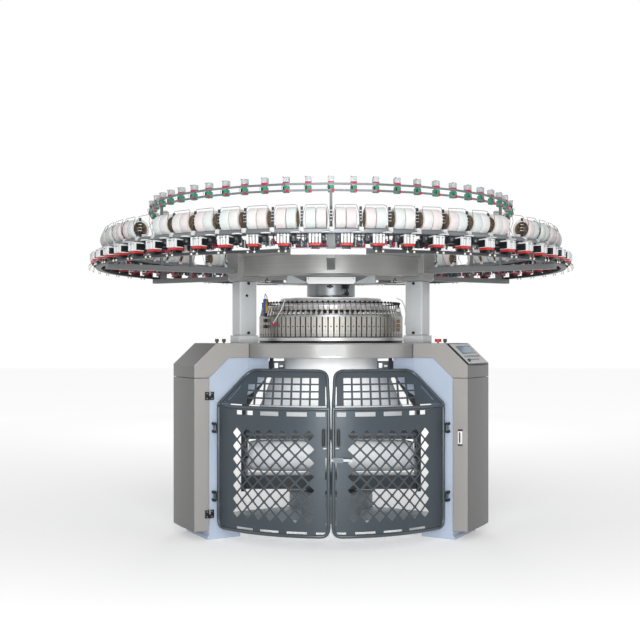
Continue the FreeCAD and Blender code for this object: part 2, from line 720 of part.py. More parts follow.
def upper_prism(inset):
    """Leaning trapezoid of the upper panel seen along the gate's middle direction."""
    mid = math.radians(GATE_EDGE_DEG / 2)
    top = math.radians(GATE_TOP_EDGE_DEG)
    out_low = -GATE_R * math.sin(mid) + inset
    out_top = -GATE_TOP_R * math.sin(top - mid) + inset
    in_low = GATE_R * math.sin(mid) - GATE_GAP / 2 - inset
    in_top = GATE_TOP_R * math.sin(mid) - GATE_GAP / 2 - inset
    z1 = GATE_TOP_Z - inset * 0.7
    cut = GATE_CORNER * 0.6
    low = GATE_WAIST_Z + (inset * 0.7 if inset else 0)
    pts = [(out_low, low), (out_top - cut * 0.35, z1 - cut * 0.6), (out_top + cut, z1),
           (in_top - cut, z1), (in_top + cut * 0.2, z1 - cut * 0.7), (in_low, low)]
    corners = [vec(x, 0, z) for x, z in pts]
    return Part.Face(Part.makePolygon(corners + corners[:1])).extrude(vec(0, -GATE_R * 2, 0))


def gate_frame():
    """Square border bars bent round the opening, with a bar along the waist and hinge knuckles."""
    outside = to_chord(rounded_prism(*gate_outline_lower(0), GATE_CORNER))
    inside = to_chord(rounded_prism(*gate_outline_lower(GATE_BAR), GATE_CORNER - GATE_BAR))
    plate = gate_shell_lower(GATE_BAR).common(outside)
    body = plate.cut(inside)
    waist = plate.common(rod(2 * GATE_R, GATE_WAIST_Z - GATE_BAR, GATE_WAIST_Z + 1))
    upper = gate_shell_upper(GATE_BAR).common(to_chord(upper_prism(0))).cut(to_chord(upper_prism(GATE_BAR)))
    body = body.fuse(waist).fuse(upper).common(gate_side())
    x, y = gate_hinge_axis()
    bar_x, bar_y = gate_edge()
    for z in GATE_HINGE_Z:
        knuckle = rod(GATE_KNUCKLE_R, z - GATE_KNUCKLE_H / 2, z + GATE_KNUCKLE_H / 2, x, y)
        tab = strap(bar_x, bar_y, x, y, 6, z - GATE_KNUCKLE_H / 2, z + GATE_KNUCKLE_H / 2)
        bore = rod(GATE_PIN_R + HINGE_SLACK, z - GATE_KNUCKLE_H, z + GATE_KNUCKLE_H, x, y)
        body = body.fuse(tab).fuse(knuckle).cut(bore)
    return one_solid(body)


def strap(x0, y0, x1, y1, width, z0, z1):
    """Flat bar between two upright lines."""
    length = math.hypot(x1 - x0, y1 - y0)
    bar = box(0, length, -width / 2, width / 2, z0, z1)
    bar.rotate(ORIGIN, Z_AXIS, math.degrees(math.atan2(y1 - y0, x1 - x0)))
    return moved(bar, x0, y0, 0)


def diamond(x, z):
    w = (DIAMOND_W - LATTICE_BAR * 1.4) / 2
    h = (DIAMOND_H - LATTICE_BAR * 1.4) / 2
    pts = [vec(x - w, 0, z), vec(x, 0, z - h), vec(x + w, 0, z), vec(x, 0, z + h)]
    return Part.Face(Part.makePolygon(pts + pts[:1])).extrude(vec(0, -GATE_R * 2, 0))


def slot(x0, x1, z0, z1):
    return box(x0, x1, -GATE_R * 2, 0, z0, z1)


def lattice_cuts():
    left, right, low, high = gate_outline_lower(GATE_BAR)
    middle = (left + right) / 2 - 12
    cuts = []
    for row in range(2 * LATTICE_ROWS):
        shift = 0.5 if row % 2 else 0.0
        count = LATTICE_COLUMNS + (0 if row % 2 else 1)
        for column in range(count):
            x = middle + (column - LATTICE_COLUMNS / 2 + shift) * DIAMOND_W
            cuts.append(diamond(x, LATTICE_Z + DIAMOND_H / 2 * (row + 1)))
    for k in range(4):
        x0 = left + 30 + k * (right - left - 40) / 4
        x1 = x0 + (right - left) / 4 - 46
        cuts.append(slot(x0, x1, high - GATE_BAR - SLOT_H - 4, high - GATE_BAR - 8))
        if k < 3:
            cuts.append(slot(x0 + 30, x1 + 30, low + 10, low + 10 + SLOT_H / 2))
    return cuts


def grid_cuts():
    """Square holes of the leaning panel, in rows that get shorter upward."""
    mid = math.radians(GATE_EDGE_DEG / 2)
    right = GATE_TOP_R * math.sin(mid) - 50
    cuts = []
    for row in range(GRID_ROWS):
        z0 = GATE_WAIST_Z + 20 + row * 42
        for column in range(GRID_COLUMNS - row // 2 * 1 - row % 2):
            x1 = right - column * GRID_PITCH
            cuts.append(slot(x1 - GRID_HOLE, x1, z0, z0 + 31))
    return cuts


def gate_panel():
    """One bent sheet: diamond lattice below the waist, square grid on the leaning part."""
    inside_bars = rounded_prism(*gate_outline_lower(GATE_BAR), GATE_CORNER - GATE_BAR)
    lower = gate_shell_lower(SHEET).common(to_chord(inside_bars))
    lower = lower.common(rod(2 * GATE_R, 0, GATE_WAIST_Z - GATE_BAR))
    upper = gate_shell_upper(SHEET).common(to_chord(upper_prism(GATE_BAR)))
    lower = lower.cut(Part.makeCompound([to_chord(c) for c in lattice_cuts()]))
    upper = upper.cut(Part.makeCompound([to_chord(c) for c in grid_cuts()]))
    return [one_solid(lower.common(gate_side())), one_solid(upper.common(gate_side()))]


def gate_edge():
    """Centre of the left gate's outer edge bar."""
    a = math.radians(GATE_EDGE_DEG)
    r = GATE_R - GATE_BAR / 4
    return -r * math.sin(a - math.radians(0.6)), -r * math.cos(a - math.radians(0.6))


def gate_hinge_axis():
    """Left gate's hinge line, outboard of the edge bar along the leg."""
    x, y = gate_edge()
    a = math.radians(LEG_ANGLES["left"])
    return x + GATE_HINGE_OUT * math.cos(a), y + GATE_HINGE_OUT * math.sin(a)


def gate_handle():
    """Upright pull bar standing off the sheet beside the inner edge."""
    reach = HANDLE_BAR_R - GATE_R
    half = PULL_H / 2
    bar = box(HANDLE_BAR_R, HANDLE_BAR_R + PULL_T, -PULL_W / 2, PULL_W / 2, PULL_Z - half, PULL_Z + half)
    feet = [box(HANDLE_BAR_R - reach, HANDLE_BAR_R + 1, -PULL_W / 2 + 1, PULL_W / 2 - 1, z, z + PULL_W)
            for z in (PULL_Z - half, PULL_Z + half - PULL_W)]
    pull = turned(bar.fuse(feet), 270 - PULL_DEG)
    outside = [part for part in pull.cut(gate_shell_lower(SHEET)).Solids if part.BoundBox.YMin < -HANDLE_BAR_R]
    return outside[0]


def latch_guide():
    """Keeper block on the right gate's inner bar in which the bolt slides."""
    r = GATE_R + GATE_BAR / 2
    low = LATCH_Z - LATCH_H / 2
    high = LATCH_Z + LATCH_H / 2
    near, far = LATCH_BLOCK_X
    block = box(GATE_R + SHEET / 2, r + LATCH_T + 2 * LATCH_WALL, near, far,
                low - LATCH_BLOCK_OVER, high + LATCH_BLOCK_OVER)
    channel = box(r + LATCH_WALL, r + LATCH_WALL + LATCH_T, near - 1, far + 1, low, high)
    return turned(block.cut(channel), 270)


def latch_bolt():
    """Flat bolt drawn back clear of the left gate, with its finger knob."""
    r = GATE_R + GATE_BAR / 2 + LATCH_WALL
    low = LATCH_Z - LATCH_H / 2 + SEAT
    high = LATCH_Z + LATCH_H / 2 - SEAT
    bolt = box(r + SEAT, r + LATCH_T - SEAT, *LATCH_BOLT_X, low, high)
    knob = box(r + LATCH_T - SEAT, r + LATCH_T + LATCH_KNOB_OUT, *LATCH_KNOB_X, low, high)
    return turned(one_solid(bolt.fuse(knob)), 270)


def gate_lugs():
    """Brackets on the left leg's face with the pins that the gate knuckles turn on."""
    x, y = gate_hinge_axis()
    a = math.radians(LEG_ANGLES["left"])
    along = x * math.cos(a) + y * math.sin(a)
    foot_x = along * math.cos(a) - LEG_HALF_W * math.sin(a)
    foot_y = along * math.sin(a) + LEG_HALF_W * math.cos(a)
    solids = []
    for z in GATE_HINGE_Z:
        low = z - GATE_KNUCKLE_H / 2 - SEAT - GATE_LUG_H
        high = z + GATE_KNUCKLE_H / 2 + SEAT
        body = rod(GATE_PIN_R, low, high + GATE_LUG_H, x, y)
        for z0 in (low, high):
            tab = strap(foot_x, foot_y, x, y, 2 * GATE_KNUCKLE_R, z0, z0 + GATE_LUG_H)
            body = body.fuse(tab).fuse(rod(GATE_KNUCKLE_R, z0, z0 + GATE_LUG_H, x, y))
        solids.append(one_solid(body))
    return solids


def gate_catches():
    """Catch blocks cast under the bed over each gate's top edge."""
    y = -math.sqrt(TABLE_R ** 2 - CATCH_X ** 2) + CATCH_T / 2 + GATE_BAR / 2
    return [box(s * CATCH_X - CATCH_W / 2, s * CATCH_X + CATCH_W / 2, y - CATCH_T / 2, y + CATCH_T / 2,
                GATE_TOP_Z + SEAT, TABLE_BOTTOM) for s in (-1, 1)]


# Columns and crown ------------------------------------------------------------------------
def column():
    """Polished square column standing on its wider foot block."""
    half = COLUMN_S / 2
    z0 = TABLE_TOP + BLOCK_H
    bar = box(COLUMN_R - half, COLUMN_R + half, -half, half, z0, HEAD_BOTTOM)
    upright = [e for e in bar.Edges if abs(e.tangentAt(e.FirstParameter).z) > 0.9]
    bar = bar.makeChamfer(COLUMN_CORNER, upright)
    half = BLOCK_S / 2
    block = box(COLUMN_R - half, COLUMN_R + half, -half, half, TABLE_TOP, z0)
    return one_solid(bar.fuse(block))


def crown_ring():
    """Cast ring with a proud top flange, a square head over each column and arms to the hub boss."""
    body = revolved([
        (CROWN_IN_R, CROWN_BOTTOM), (CROWN_R - CROWN_FLANGE_OUT, CROWN_BOTTOM),
        (CROWN_R - CROWN_FLANGE_OUT, CROWN_TOP - CROWN_FLANGE_H), (CROWN_R, CROWN_TOP - CROWN_FLANGE_H),
        (CROWN_R, CROWN_TOP), (CROWN_IN_R, CROWN_TOP),
    ])
    half = HEAD_S / 2
    z_lip = HEAD_BOTTOM + HEAD_LIP_H
    for angle in LEG_ANGLES.values():
        head = box(COLUMN_R - half, COLUMN_R + half, -half, half, z_lip, CROWN_TOP)
        lip = box(COLUMN_R - half + 8, COLUMN_R + half - 8, -half + 8, half - 8, HEAD_BOTTOM, z_lip)
        body = body.fuse(turned(head.fuse(lip), angle))
    return one_solid(body.fuse(crown_arms()))


def crown_arms():
    """Three arms under the crown that meet in the boss holding the hub."""
    z0 = CROWN_BOTTOM - ARM_H / 2
    body = rod(HUB_R * 0.8, z0, z0 + ARM_H)
    for angle in LEG_ANGLES.values():
        arm = box(0, CROWN_IN_R + 1, -ARM_W / 2, ARM_W / 2, z0, z0 + ARM_H)
        body = body.fuse(turned(arm, angle))
    return one_solid(body)


def hub_drum():
    top = CROWN_BOTTOM - ARM_H / 2
    drum = rod(HUB_R, HUB_BOTTOM, top)
    return drum.cut(rod(DIAL_SHAFT_R + RUN_GAP / 20, HUB_BOTTOM - 1, HUB_BOTTOM + 60))


def name_plates():
    """Blank plate under the crown and blank label on the bed rim."""
    y = -HUB_R - 40
    z = CROWN_BOTTOM - ARM_H / 2 + 8
    plate = box(-PLATE_W / 2, PLATE_W / 2, y - PLATE_T, y, z - PLATE_H / 2, z + PLATE_H / 2)
    bracket = box(-14, 14, y, 0, z - 10, z + 10)
    bracket = bracket.cut(crown_arms()).cut(hub_drum())
    rim = TABLE_R
    label = ring(rim, rim + 2, TABLE_TOP - 8 - LABEL_H, TABLE_TOP - 8)
    label = label.common(box(-LABEL_W / 2, LABEL_W / 2, -rim - 10, 0, 0, TABLE_TOP))
    front = one_solid(plate.fuse(bracket.Solids[0]))
    return [front, one_solid(label)]


# Creel ------------------------------------------------------------------------------------
def creel_arms():
    """Arms from the crown out to the feeder rail, each with a post for the top ring."""
    z0 = FEEDER_TOP - FEEDER_H - CREEL_ARM_H
    solids = []
    for angle in on_circle(CREEL_ARMS, 30):
        over_column = any(abs(angle - leg_angle) < 1 for leg_angle in LEG_ANGLES.values())
        inner = COLUMN_R + HEAD_S / 2 if over_column else CROWN_R - CROWN_FLANGE_OUT
        outer = FEEDER_RING_R + FEEDER_RAIL_W / 2
        arm = box(inner, outer, -CREEL_ARM_W / 2, CREEL_ARM_W / 2, z0, z0 + CREEL_ARM_H)
        post = box(TOP_RING_R - POST_S / 2, TOP_RING_R + POST_S / 2, -POST_S / 2, POST_S / 2,
                   z0 + CREEL_ARM_H, TOP_RING_Z[0])
        rail_foot = box(PACKAGE_RING_R - 12, PACKAGE_RING_R + 12, -CREEL_ARM_W / 2, CREEL_ARM_W / 2,
                        z0 + CREEL_ARM_H, PACKAGE_Z - package_flat() - RAIL_H)
        solids.append(turned(one_solid(arm.fuse(post).fuse(rail_foot)), angle))
    return solids


def feeder_rail():
    z0 = FEEDER_TOP - FEEDER_H
    return polygon_ring(FEEDER_RING_R, FEEDER_RAIL_W, z0, z0 + FEEDER_RAIL_H, CREEL_POSITIONS)


def package_flat():
    """Height of a package's axis over the flat it rests on."""
    return PACKAGE_R * math.cos(math.pi / PACKAGE_SIDES)


def package_rail():
    z1 = PACKAGE_Z - package_flat()
    return polygon_ring(PACKAGE_RING_R, RAIL_W, z1 - RAIL_H, z1, CREEL_POSITIONS)


def package():
    """Wound yarn package, its axis along the ring."""
    corners = [vec(PACKAGE_RING_R + PACKAGE_R * math.cos(math.radians(a)), -PACKAGE_L / 2,
                   PACKAGE_Z + PACKAGE_R * math.sin(math.radians(a)))
               for a in on_circle(PACKAGE_SIDES, 180.0 / PACKAGE_SIDES)]
    return Part.Face(Part.makePolygon(corners + corners[:1])).extrude(vec(0, PACKAGE_L, 0))


def yarn_packages():
    step = 360.0 / CREEL_POSITIONS
    empty = (7, 22, 37, 52)
    return [turned(package(), step * (i + 0.5)) for i in range(CREEL_POSITIONS) if i not in empty]


def yarn_feeders():
    """Feeder housings clamped on the rail, each with a sloping face for its wheel."""
    z0 = FEEDER_TOP - FEEDER_H + FEEDER_RAIL_H
    r0 = FEEDER_RING_R - FEEDER_RAIL_W / 2
    unit = side_profile([(r0, z0), (r0 + FEEDER_DEPTH - 8, z0), (r0 + FEEDER_DEPTH, FEEDER_TOP - 26),
                         (r0 + FEEDER_DEPTH - 26, FEEDER_TOP), (r0, FEEDER_TOP)], FEEDER_W / 2)
    step = 360.0 / CREEL_POSITIONS
    return [turned(unit, step * (i + 0.5)) for i in range(CREEL_POSITIONS)]


def top_rings():
    bar = TOP_RING_BAR
    return [polygon_ring(TOP_RING_R, bar, z, z + bar, TOP_RING_SIDES) for z in TOP_RING_Z]


def stop_motions():
    """Yarn break detectors clamped round both top bars: slotted body and a cap."""
    bar = TOP_RING_BAR / 2
    low = TOP_RING_Z[0] - 8
    r = TOP_RING_R
    far = r - STOP_DEPTH + bar + 4
    unit = side_profile([(far, low), (r + bar + 4, low), (r + bar + 4, low + STOP_BODY_H),
                         (r, STOP_TOP), (far + 10, STOP_TOP), (far, low + STOP_BODY_H)], STOP_W / 2)
    for z in TOP_RING_Z:
        slack = SEAT / 3
        unit = unit.cut(box(r - bar - slack, r + bar + slack, -STOP_W, STOP_W,
                            z - slack, z + TOP_RING_BAR + slack))
    return [turned(one_solid(unit), angle) for angle in on_circle(STOP_UNITS)]


# Controls ---------------------------------------------------------------------------------
def button_spots():
    """Places of the push buttons on a cover, in that leg's own frame."""
    return [(782.0, 112.0), (826.0, 112.0)]


def button(x, y, radius):
    z = TABLE_TOP + BUTTON_TRAVEL + 1
    cap = rod(radius, z, z + BUTTON_H, x, y)
    stem = rod(STEM_R, TABLE_TOP - STEM_DEPTH, z + 1, x, y)
    return one_solid(cap.fuse(stem))


def control_panel():
    """Sloping operator panel with a raised screen frame."""
    run = math.hypot(COVER_OUTER_R - COVER_SLOPE_R, TABLE_TOP - COVER_SLOPE_Z)
    length = run - 2 * PANEL_MARGIN
    half = COVER_HALF_W - PANEL_MARGIN
    slab = box(0, length, -half, half, 0, PANEL_T)
    upright = [e for e in slab.Edges if abs(e.tangentAt(e.FirstParameter).z) > 0.9]
    slab = slab.makeFillet(PANEL_CORNER, upright)
    start, end = [length * share for share in SCREEN_RUN]
    left, right = [half * share for share in SCREEN_ACROSS]
    window = box(start, end, left, right, PANEL_T - SCREEN_DEPTH, PANEL_T + 1)
    slab = one_solid(slab.cut(window))
    lean = math.degrees(math.atan2(TABLE_TOP - COVER_SLOPE_Z, COVER_OUTER_R - COVER_SLOPE_R))
    slab.rotate(ORIGIN, vec(0, 1, 0), lean)
    dx = math.cos(math.radians(lean)) * PANEL_MARGIN
    dz = math.sin(math.radians(lean)) * PANEL_MARGIN
    return moved(slab, COVER_SLOPE_R + dx, 0, TABLE_TOP - dz)


def door_handle():
    """Swing handle on the front flank of the right door, rounded at its foot about the pivot."""
    r0 = (LEG_OUTER_R + COVER_OUTER_R) / 2 - HANDLE_W / 2
    outer = -COVER_HALF_W - HANDLE_T
    round_r = (HANDLE_T - SEAT) / 2
    pivot_z = HANDLE_Z + round_r
    bar = box(r0, r0 + HANDLE_W, outer, outer + 2 * round_r, pivot_z, HANDLE_Z + HANDLE_H)
    foot = Part.makeCylinder(round_r, HANDLE_W, vec(r0, outer + round_r, pivot_z), vec(1, 0, 0))
    return one_solid(bar.fuse(foot))


# Build ------------------------------------------------------------------------------------
def both_sides(name, left_shape):
    write(name + "_left", left_shape)
    write(name + "_right", left_shape.mirror(ORIGIN, vec(1, 0, 0)))


def write_frame():
    write("base_spider", base_spider())
    for name, angle in LEG_ANGLES.items():
        side = FRONT_SIDE.get(name)
        spots = [(x, side * y) for x, y in button_spots()] if side else []
        write("leg_" + name, turned(leg(), angle))
        write("top_cover_" + name, turned(top_cover(spots), angle))
        write("column_" + name, turned(column(), angle))
        write("door_" + name, turned(door(), angle))
    leaves = [turned(leaf, angle) for angle in LEG_ANGLES.values() for leaf in fixed_leaves()]
    write("hinge_leaves", Part.makeCompound(leaves))
    write("door_handle", turned(door_handle(), LEG_ANGLES["right"]))
    write("table_bed", table_bed())
    write("slewing_bearing", slewing_bearing())
    write("crown_ring", crown_ring())
    write("hub_drum", hub_drum())
    write("name_plates", Part.makeCompound(name_plates()))


def write_knitting_head():
    write("cam_ring", cam_ring())
    write("cam_drum", cam_drum())
    write("cam_plates", Part.makeCompound(cam_plates()))
    write("guide_ring", guide_ring())
    write("yarn_guides", Part.makeCompound(yarn_guides()))
    write("needle_cylinder", needle_cylinder())
    write("dial", dial())


def write_drive():
    write("ring_gear", ring_gear())
    write("drive_shaft", drive_shaft())
    write("motor", motor())
    write("motor_pulley", motor_pulley())
    write("drive_belt", drive_belt())


def write_takedown():
    write("takedown_arms", Part.makeCompound(takedown_arms()))
    write("side_frames", Part.makeCompound(side_frames()))
    write("cross_beam", cross_beam())
    for name, (y, z) in zip(("front", "middle", "rear"), roller_places()):
        write("draw_roller_" + name, roller(y, z))
    write("fabric_roll", fabric_roll())
    write("roll_shaft", roll_shaft())


def write_gates():
    frame = gate_frame()
    mirror_x = vec(1, 0, 0)
    write("gate_frame_left", frame)
    write("gate_frame_right", one_solid(frame.mirror(ORIGIN, mirror_x).fuse(latch_guide())))
    both_sides("gate_panel", Part.makeCompound(gate_panel()))
    both_sides("gate_handle", gate_handle())
    write("latch_bolt", latch_bolt())
    lugs = gate_lugs()
    write("gate_hinges", Part.makeCompound(lugs + [lug.mirror(ORIGIN, mirror_x) for lug in lugs]))


def write_creel():
    write("creel_arms", Part.makeCompound(creel_arms()))
    write("feeder_rail", feeder_rail())
    write("package_rail", package_rail())
    write("yarn_packages", Part.makeCompound(yarn_packages()))
    write("yarn_feeders", Part.makeCompound(yarn_feeders()))
    write("top_rings", Part.makeCompound(top_rings()))
    write("stop_motions", Part.makeCompound(stop_motions()))


def write_controls():
    write("control_panel", turned(control_panel(), LEG_ANGLES["right"]))
    buttons = [("button_start", "left", 0, BUTTON_R), ("button_jog", "left", 1, BUTTON_R),
               ("emergency_stop", "right", 0, STOP_BUTTON_R), ("button_stop", "right", 1, BUTTON_R)]
    for name, leg_name, index, radius in buttons:
        x, y = button_spots()[index]
        write(name, turned(button(x, FRONT_SIDE[leg_name] * y, radius), LEG_ANGLES[leg_name]))


write_frame()
write_knitting_head()
write_drive()
write_takedown()
write_gates()
write_creel()
write_controls()
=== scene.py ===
import math
import random

import bmesh
import bpy
from mathutils import Matrix, Vector, geometry


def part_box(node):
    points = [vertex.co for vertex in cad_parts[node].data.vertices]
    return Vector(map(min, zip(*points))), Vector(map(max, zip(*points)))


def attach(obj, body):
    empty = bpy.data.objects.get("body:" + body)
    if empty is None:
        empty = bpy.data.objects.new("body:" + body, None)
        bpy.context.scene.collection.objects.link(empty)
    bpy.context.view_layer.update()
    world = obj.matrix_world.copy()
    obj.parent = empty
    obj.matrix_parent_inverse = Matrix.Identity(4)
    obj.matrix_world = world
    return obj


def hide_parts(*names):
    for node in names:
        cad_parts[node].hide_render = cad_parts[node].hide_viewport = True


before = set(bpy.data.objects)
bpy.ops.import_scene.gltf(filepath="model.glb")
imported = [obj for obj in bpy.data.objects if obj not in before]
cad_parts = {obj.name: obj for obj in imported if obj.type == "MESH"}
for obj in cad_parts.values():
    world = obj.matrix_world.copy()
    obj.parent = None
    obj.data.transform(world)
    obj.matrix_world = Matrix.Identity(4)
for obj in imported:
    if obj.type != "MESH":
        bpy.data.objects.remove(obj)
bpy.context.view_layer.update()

# Camera ------------
# Eye level with the bed, six metres in front of the machine's axis, lens level. The small shift
# puts the axis and the horizon where the picture has them.
IMAGE = 640
FOCAL = 950
AXIS_X = 331
HORIZON_Y = 338
camera_data = bpy.data.cameras.new("camera")
camera_data.sensor_width = 36
camera_data.lens = FOCAL / IMAGE * camera_data.sensor_width
camera_data.shift_x = (IMAGE / 2 - AXIS_X) / IMAGE
camera_data.shift_y = (HORIZON_Y - IMAGE / 2) / IMAGE
camera = bpy.data.objects.new("camera", camera_data)
camera.location = (0, -6.0, 1.15)
camera.rotation_euler = (math.radians(90), 0, 0)
bpy.context.scene.collection.objects.link(camera)
bpy.context.scene.camera = camera
bpy.context.scene.view_settings.view_transform = "Standard"


# Studio ------------
# White floor and white air. Soft lamps in front, at both sides, overhead and behind and a small
# one in the bay, at a level at which a colour renders as it is written.
def linear(code):
    """Linear RGBA of an sRGB hex colour."""
    channels = [int(code[i:i + 2], 16) / 255 for i in (1, 3, 5)]
    return [c / 12.92 if c <= 0.04045 else ((c + 0.055) / 1.055) ** 2.4 for c in channels] + [1]


def add_node(tree, kind, settings, links):
    """A shader node; settings go to its inputs by name or number, or else to the node itself."""
    node = tree.nodes.new("ShaderNode" + kind)
    for name, value in settings.items():
        if isinstance(name, int) or name in node.inputs:
            node.inputs[name].default_value = value
        else:
            setattr(node, name, value)
    for name, socket in links.items():
        tree.links.new(socket, node.inputs[name])
    return node


def seen_rays(tree):
    """1 for camera, mirror and glass rays, 0 for the rays that light the object."""
    path = add_node(tree, "LightPath", {}, {})
    glossy = add_node(tree, "Math", {"operation": "MAXIMUM"},
                      {0: path.outputs["Is Camera Ray"], 1: path.outputs["Is Glossy Ray"]})
    glass = add_node(tree, "Math", {"operation": "MAXIMUM"},
                     {0: glossy.outputs[0], 1: path.outputs["Is Transmission Ray"]})
    return glass.outputs[0]


AIR_LIGHT = 0.32
world = bpy.data.worlds.new("studio_air")
world.use_nodes = True
air = world.node_tree
air.nodes.clear()
level = add_node(air, "MapRange", {"To Min": AIR_LIGHT, "To Max": 1.0}, {"Value": seen_rays(air)})
glow = add_node(air, "Background", {"Color": linear("#FFFFFF")}, {"Strength": level.outputs[0]})
add_node(air, "OutputWorld", {}, {"Surface": glow.outputs[0]})
bpy.context.scene.world = world

FLOOR_SIZE = 60
floor_mesh = bmesh.new()
bmesh.ops.create_grid(floor_mesh, x_segments=1, y_segments=1, size=FLOOR_SIZE / 2)
floor_data = bpy.data.meshes.new("floor")
floor_mesh.to_mesh(floor_data)
floor = bpy.data.objects.new("floor", floor_data)
floor_paint = bpy.data.materials.new("matt_white_floor")
floor_paint.use_nodes = True
floor_tree = floor_paint.node_tree
floor_tree.nodes.clear()
shaded = add_node(floor_tree, "BsdfDiffuse", {"Color": linear("#F4F4F4")}, {})
spot = add_node(floor_tree, "TexCoord", {}, {})
distance = add_node(floor_tree, "VectorMath", {"operation": "LENGTH"}, {0: spot.outputs["Object"]})
paling = {"From Min": 1.5, "From Max": 9.0, "To Min": 0.28, "To Max": 0.66}
rise = add_node(floor_tree, "MapRange", paling, {"Value": distance.outputs["Value"]})
lit = add_node(floor_tree, "Emission", {"Color": linear("#FFFFFF")}, {"Strength": rise.outputs[0]})
both = add_node(floor_tree, "AddShader", {}, {0: shaded.outputs[0], 1: lit.outputs[0]})
choice = add_node(floor_tree, "MixShader", {},
                  {0: seen_rays(floor_tree), 1: shaded.outputs[0], 2: both.outputs[0]})
add_node(floor_tree, "OutputMaterial", {}, {"Surface": choice.outputs[0]})
floor_data.materials.append(floor_paint)
bpy.context.scene.collection.objects.link(floor)

LAMPS = {
    "front": ((0.0, -6.5, 3.2), 4.2, 115),
    "low_front": ((0.0, -5.0, 0.9), 1.8, 66),
    "low_fill": ((0.0, -5.0, 0.9), 1.8, 24),
    "left_side": ((-6.2, -3.0, 2.4), 2.6, 14),
    "right_side": ((6.2, -3.0, 2.4), 2.6, 14),
    "overhead": ((0.0, -0.6, 6.0), 4.0, 60),
    "behind": ((0.0, 6.5, 4.0), 3.0, 80),
    "in_bay": ((0.0, -0.58, 0.72), 0.4, 2.2),
}
for name, (spot, width, watts) in LAMPS.items():
    lamp_data = bpy.data.lights.new(name, "AREA")
    lamp_data.size = width
    lamp_data.energy = watts
    lamp = bpy.data.objects.new(name, lamp_data)
    lamp.location = spot
    aim = Vector((0, 0, 0.5 if name == "in_bay" else 1.1))
    lamp.rotation_euler = (aim - Vector(spot)).to_track_quat("-Z", "Y").to_euler()
    lamp.visible_camera = False
    lamp.visible_glossy = name not in ("low_fill", "in_bay")
    bpy.context.scene.collection.objects.link(lamp)


# Legs ------------
# Three upright leg castings inside the cabinets. Cast iron, filled, primed and sprayed
# with a pale blue gloss enamel, whose orange peel shows as a soft unevenness of the shine.
def grained(name, dark, light, grain, metallic, roughness, stretch=(1, 1, 1), bump=0.0, edge=0.0, ior=1.5,
            **more):
    """A material whose colour and gloss wander between two tones in patches of this many millimetres.

    Stretch draws the patches out along X, Y and Z, bump raises them and edge rounds the edges for
    the eye, in millimetres. What else is given is set on the shader."""
    material = bpy.data.materials.new(name)
    material.use_nodes = True
    tree = material.node_tree
    shader = tree.nodes["Principled BSDF"]
    for socket, value in {"Metallic": metallic, "IOR": ior, **more}.items():
        shader.inputs[socket].default_value = value
    spot = add_node(tree, "TexCoord", {}, {})
    scale = add_node(tree, "Mapping", {"Scale": [1000 / (grain * s) for s in stretch]},
                     {"Vector": spot.outputs["Object"]})
    patches = add_node(tree, "TexNoise", {"Scale": 1.0, "Detail": 3.0},
                       {"Vector": scale.outputs[0]})
    factor = patches.outputs[0]
    shade = add_node(tree, "Mix", {"data_type": "RGBA", 6: linear(dark), 7: linear(light)},
                     {0: factor})
    gloss = add_node(tree, "MapRange", {"To Min": roughness * 0.8, "To Max": roughness * 1.2},
                     {"Value": factor})
    tree.links.new(shade.outputs[2], shader.inputs["Base Color"])
    tree.links.new(gloss.outputs[0], shader.inputs["Roughness"])
    dents = {"Height": factor}
    if edge:
        rounded = add_node(tree, "Bevel", {"samples": 4, "Radius": edge / 1000}, {})
        dents["Normal"] = rounded.outputs[0]
    if edge or bump:
        dent = add_node(tree, "Bump", {"Strength": 0.6, "Distance": bump / 1000}, dents)
        tree.links.new(dent.outputs[0], shader.inputs["Normal"])
    return material


def coat(material, *nodes):
    """Gives the material to nodes of the machine that keep their own shape."""
    for node in nodes:
        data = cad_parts[node].data
        data.materials.clear()
        data.materials.append(material)


leg_enamel = grained("pale_blue_gloss_enamel", "#AEBDD1", "#C6D3E5", 240, 0.0, 0.32, edge=4, ior=1.52)
coat(leg_enamel, "leg_left", "leg_right", "leg_rear")


# Cabinets ------------
# Folded steel covers and doors round the legs, sprayed in a warm grey lacquer. The outer faces
# get a darker copy of it with upright streaks: painted shade, as they turn away from the front lamps.
lacquer = grained("warm_grey_metallic_lacquer", "#9D9A98", "#ACA9A6", 2.5, 0.25, 0.42, edge=4,
                  **{"Coat Weight": 0.2, "Coat Roughness": 0.2})
LEG_DEGREES = {"left": 210, "right": 330, "rear": 90}
outer_face_painted_shade = grained("lacquer_painted_shade_outer_faces", "#696969", "#7E7D7C", 3, 0.45, 0.4,
                       stretch=(1, 1, 300), edge=4)
for leg, degrees in LEG_DEGREES.items():
    outward = Vector((math.cos(math.radians(degrees)), math.sin(math.radians(degrees)), 0))
    for node in ("top_cover_" + leg, "door_" + leg):
        coat(lacquer, node)
        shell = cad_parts[node]
        shell.data.materials.append(outer_face_painted_shade)
        for face in shell.data.polygons:
            # Faces turned outward take the darker copy of the lacquer: painted shade.
            if (shell.matrix_world.to_3x3() @ face.normal).dot(outward) > 0.6:
                face.material_index = 1


# Bed, crown and base ------------
# Grey iron castings, turned on their outside and sprayed with a silver lacquer. Faint turning
# lines run round them and draw the light out sideways.
silver_cast = grained("silver_lacquered_cast_iron", "#8E8E8D", "#A3A3A2", 3, 0.6, 0.32,
                      stretch=(300, 300, 1), edge=6)
coat(silver_cast, "table_bed", "crown_ring")
arm_lacquer = grained("grey_lacquered_steel_arms", "#6A6D6D", "#7D8080", 4, 0.4, 0.45, edge=2)
coat(arm_lacquer, "creel_arms")
base_paint = grained("grey_hammer_paint", "#6E7478", "#868C90", 6, 0.2, 0.45, bump=0.3)
coat(base_paint, "base_spider", "motor")


# Columns ------------
# Square steel columns on wider foot blocks, ground on all faces, with broken edges that shine.
# The grinding runs up and down. Cap screws hold both ends, and each bar has a tapped hole.
TO_Y = Matrix.Rotation(math.radians(-90), 4, "X")  # lays what stands on Z along Y


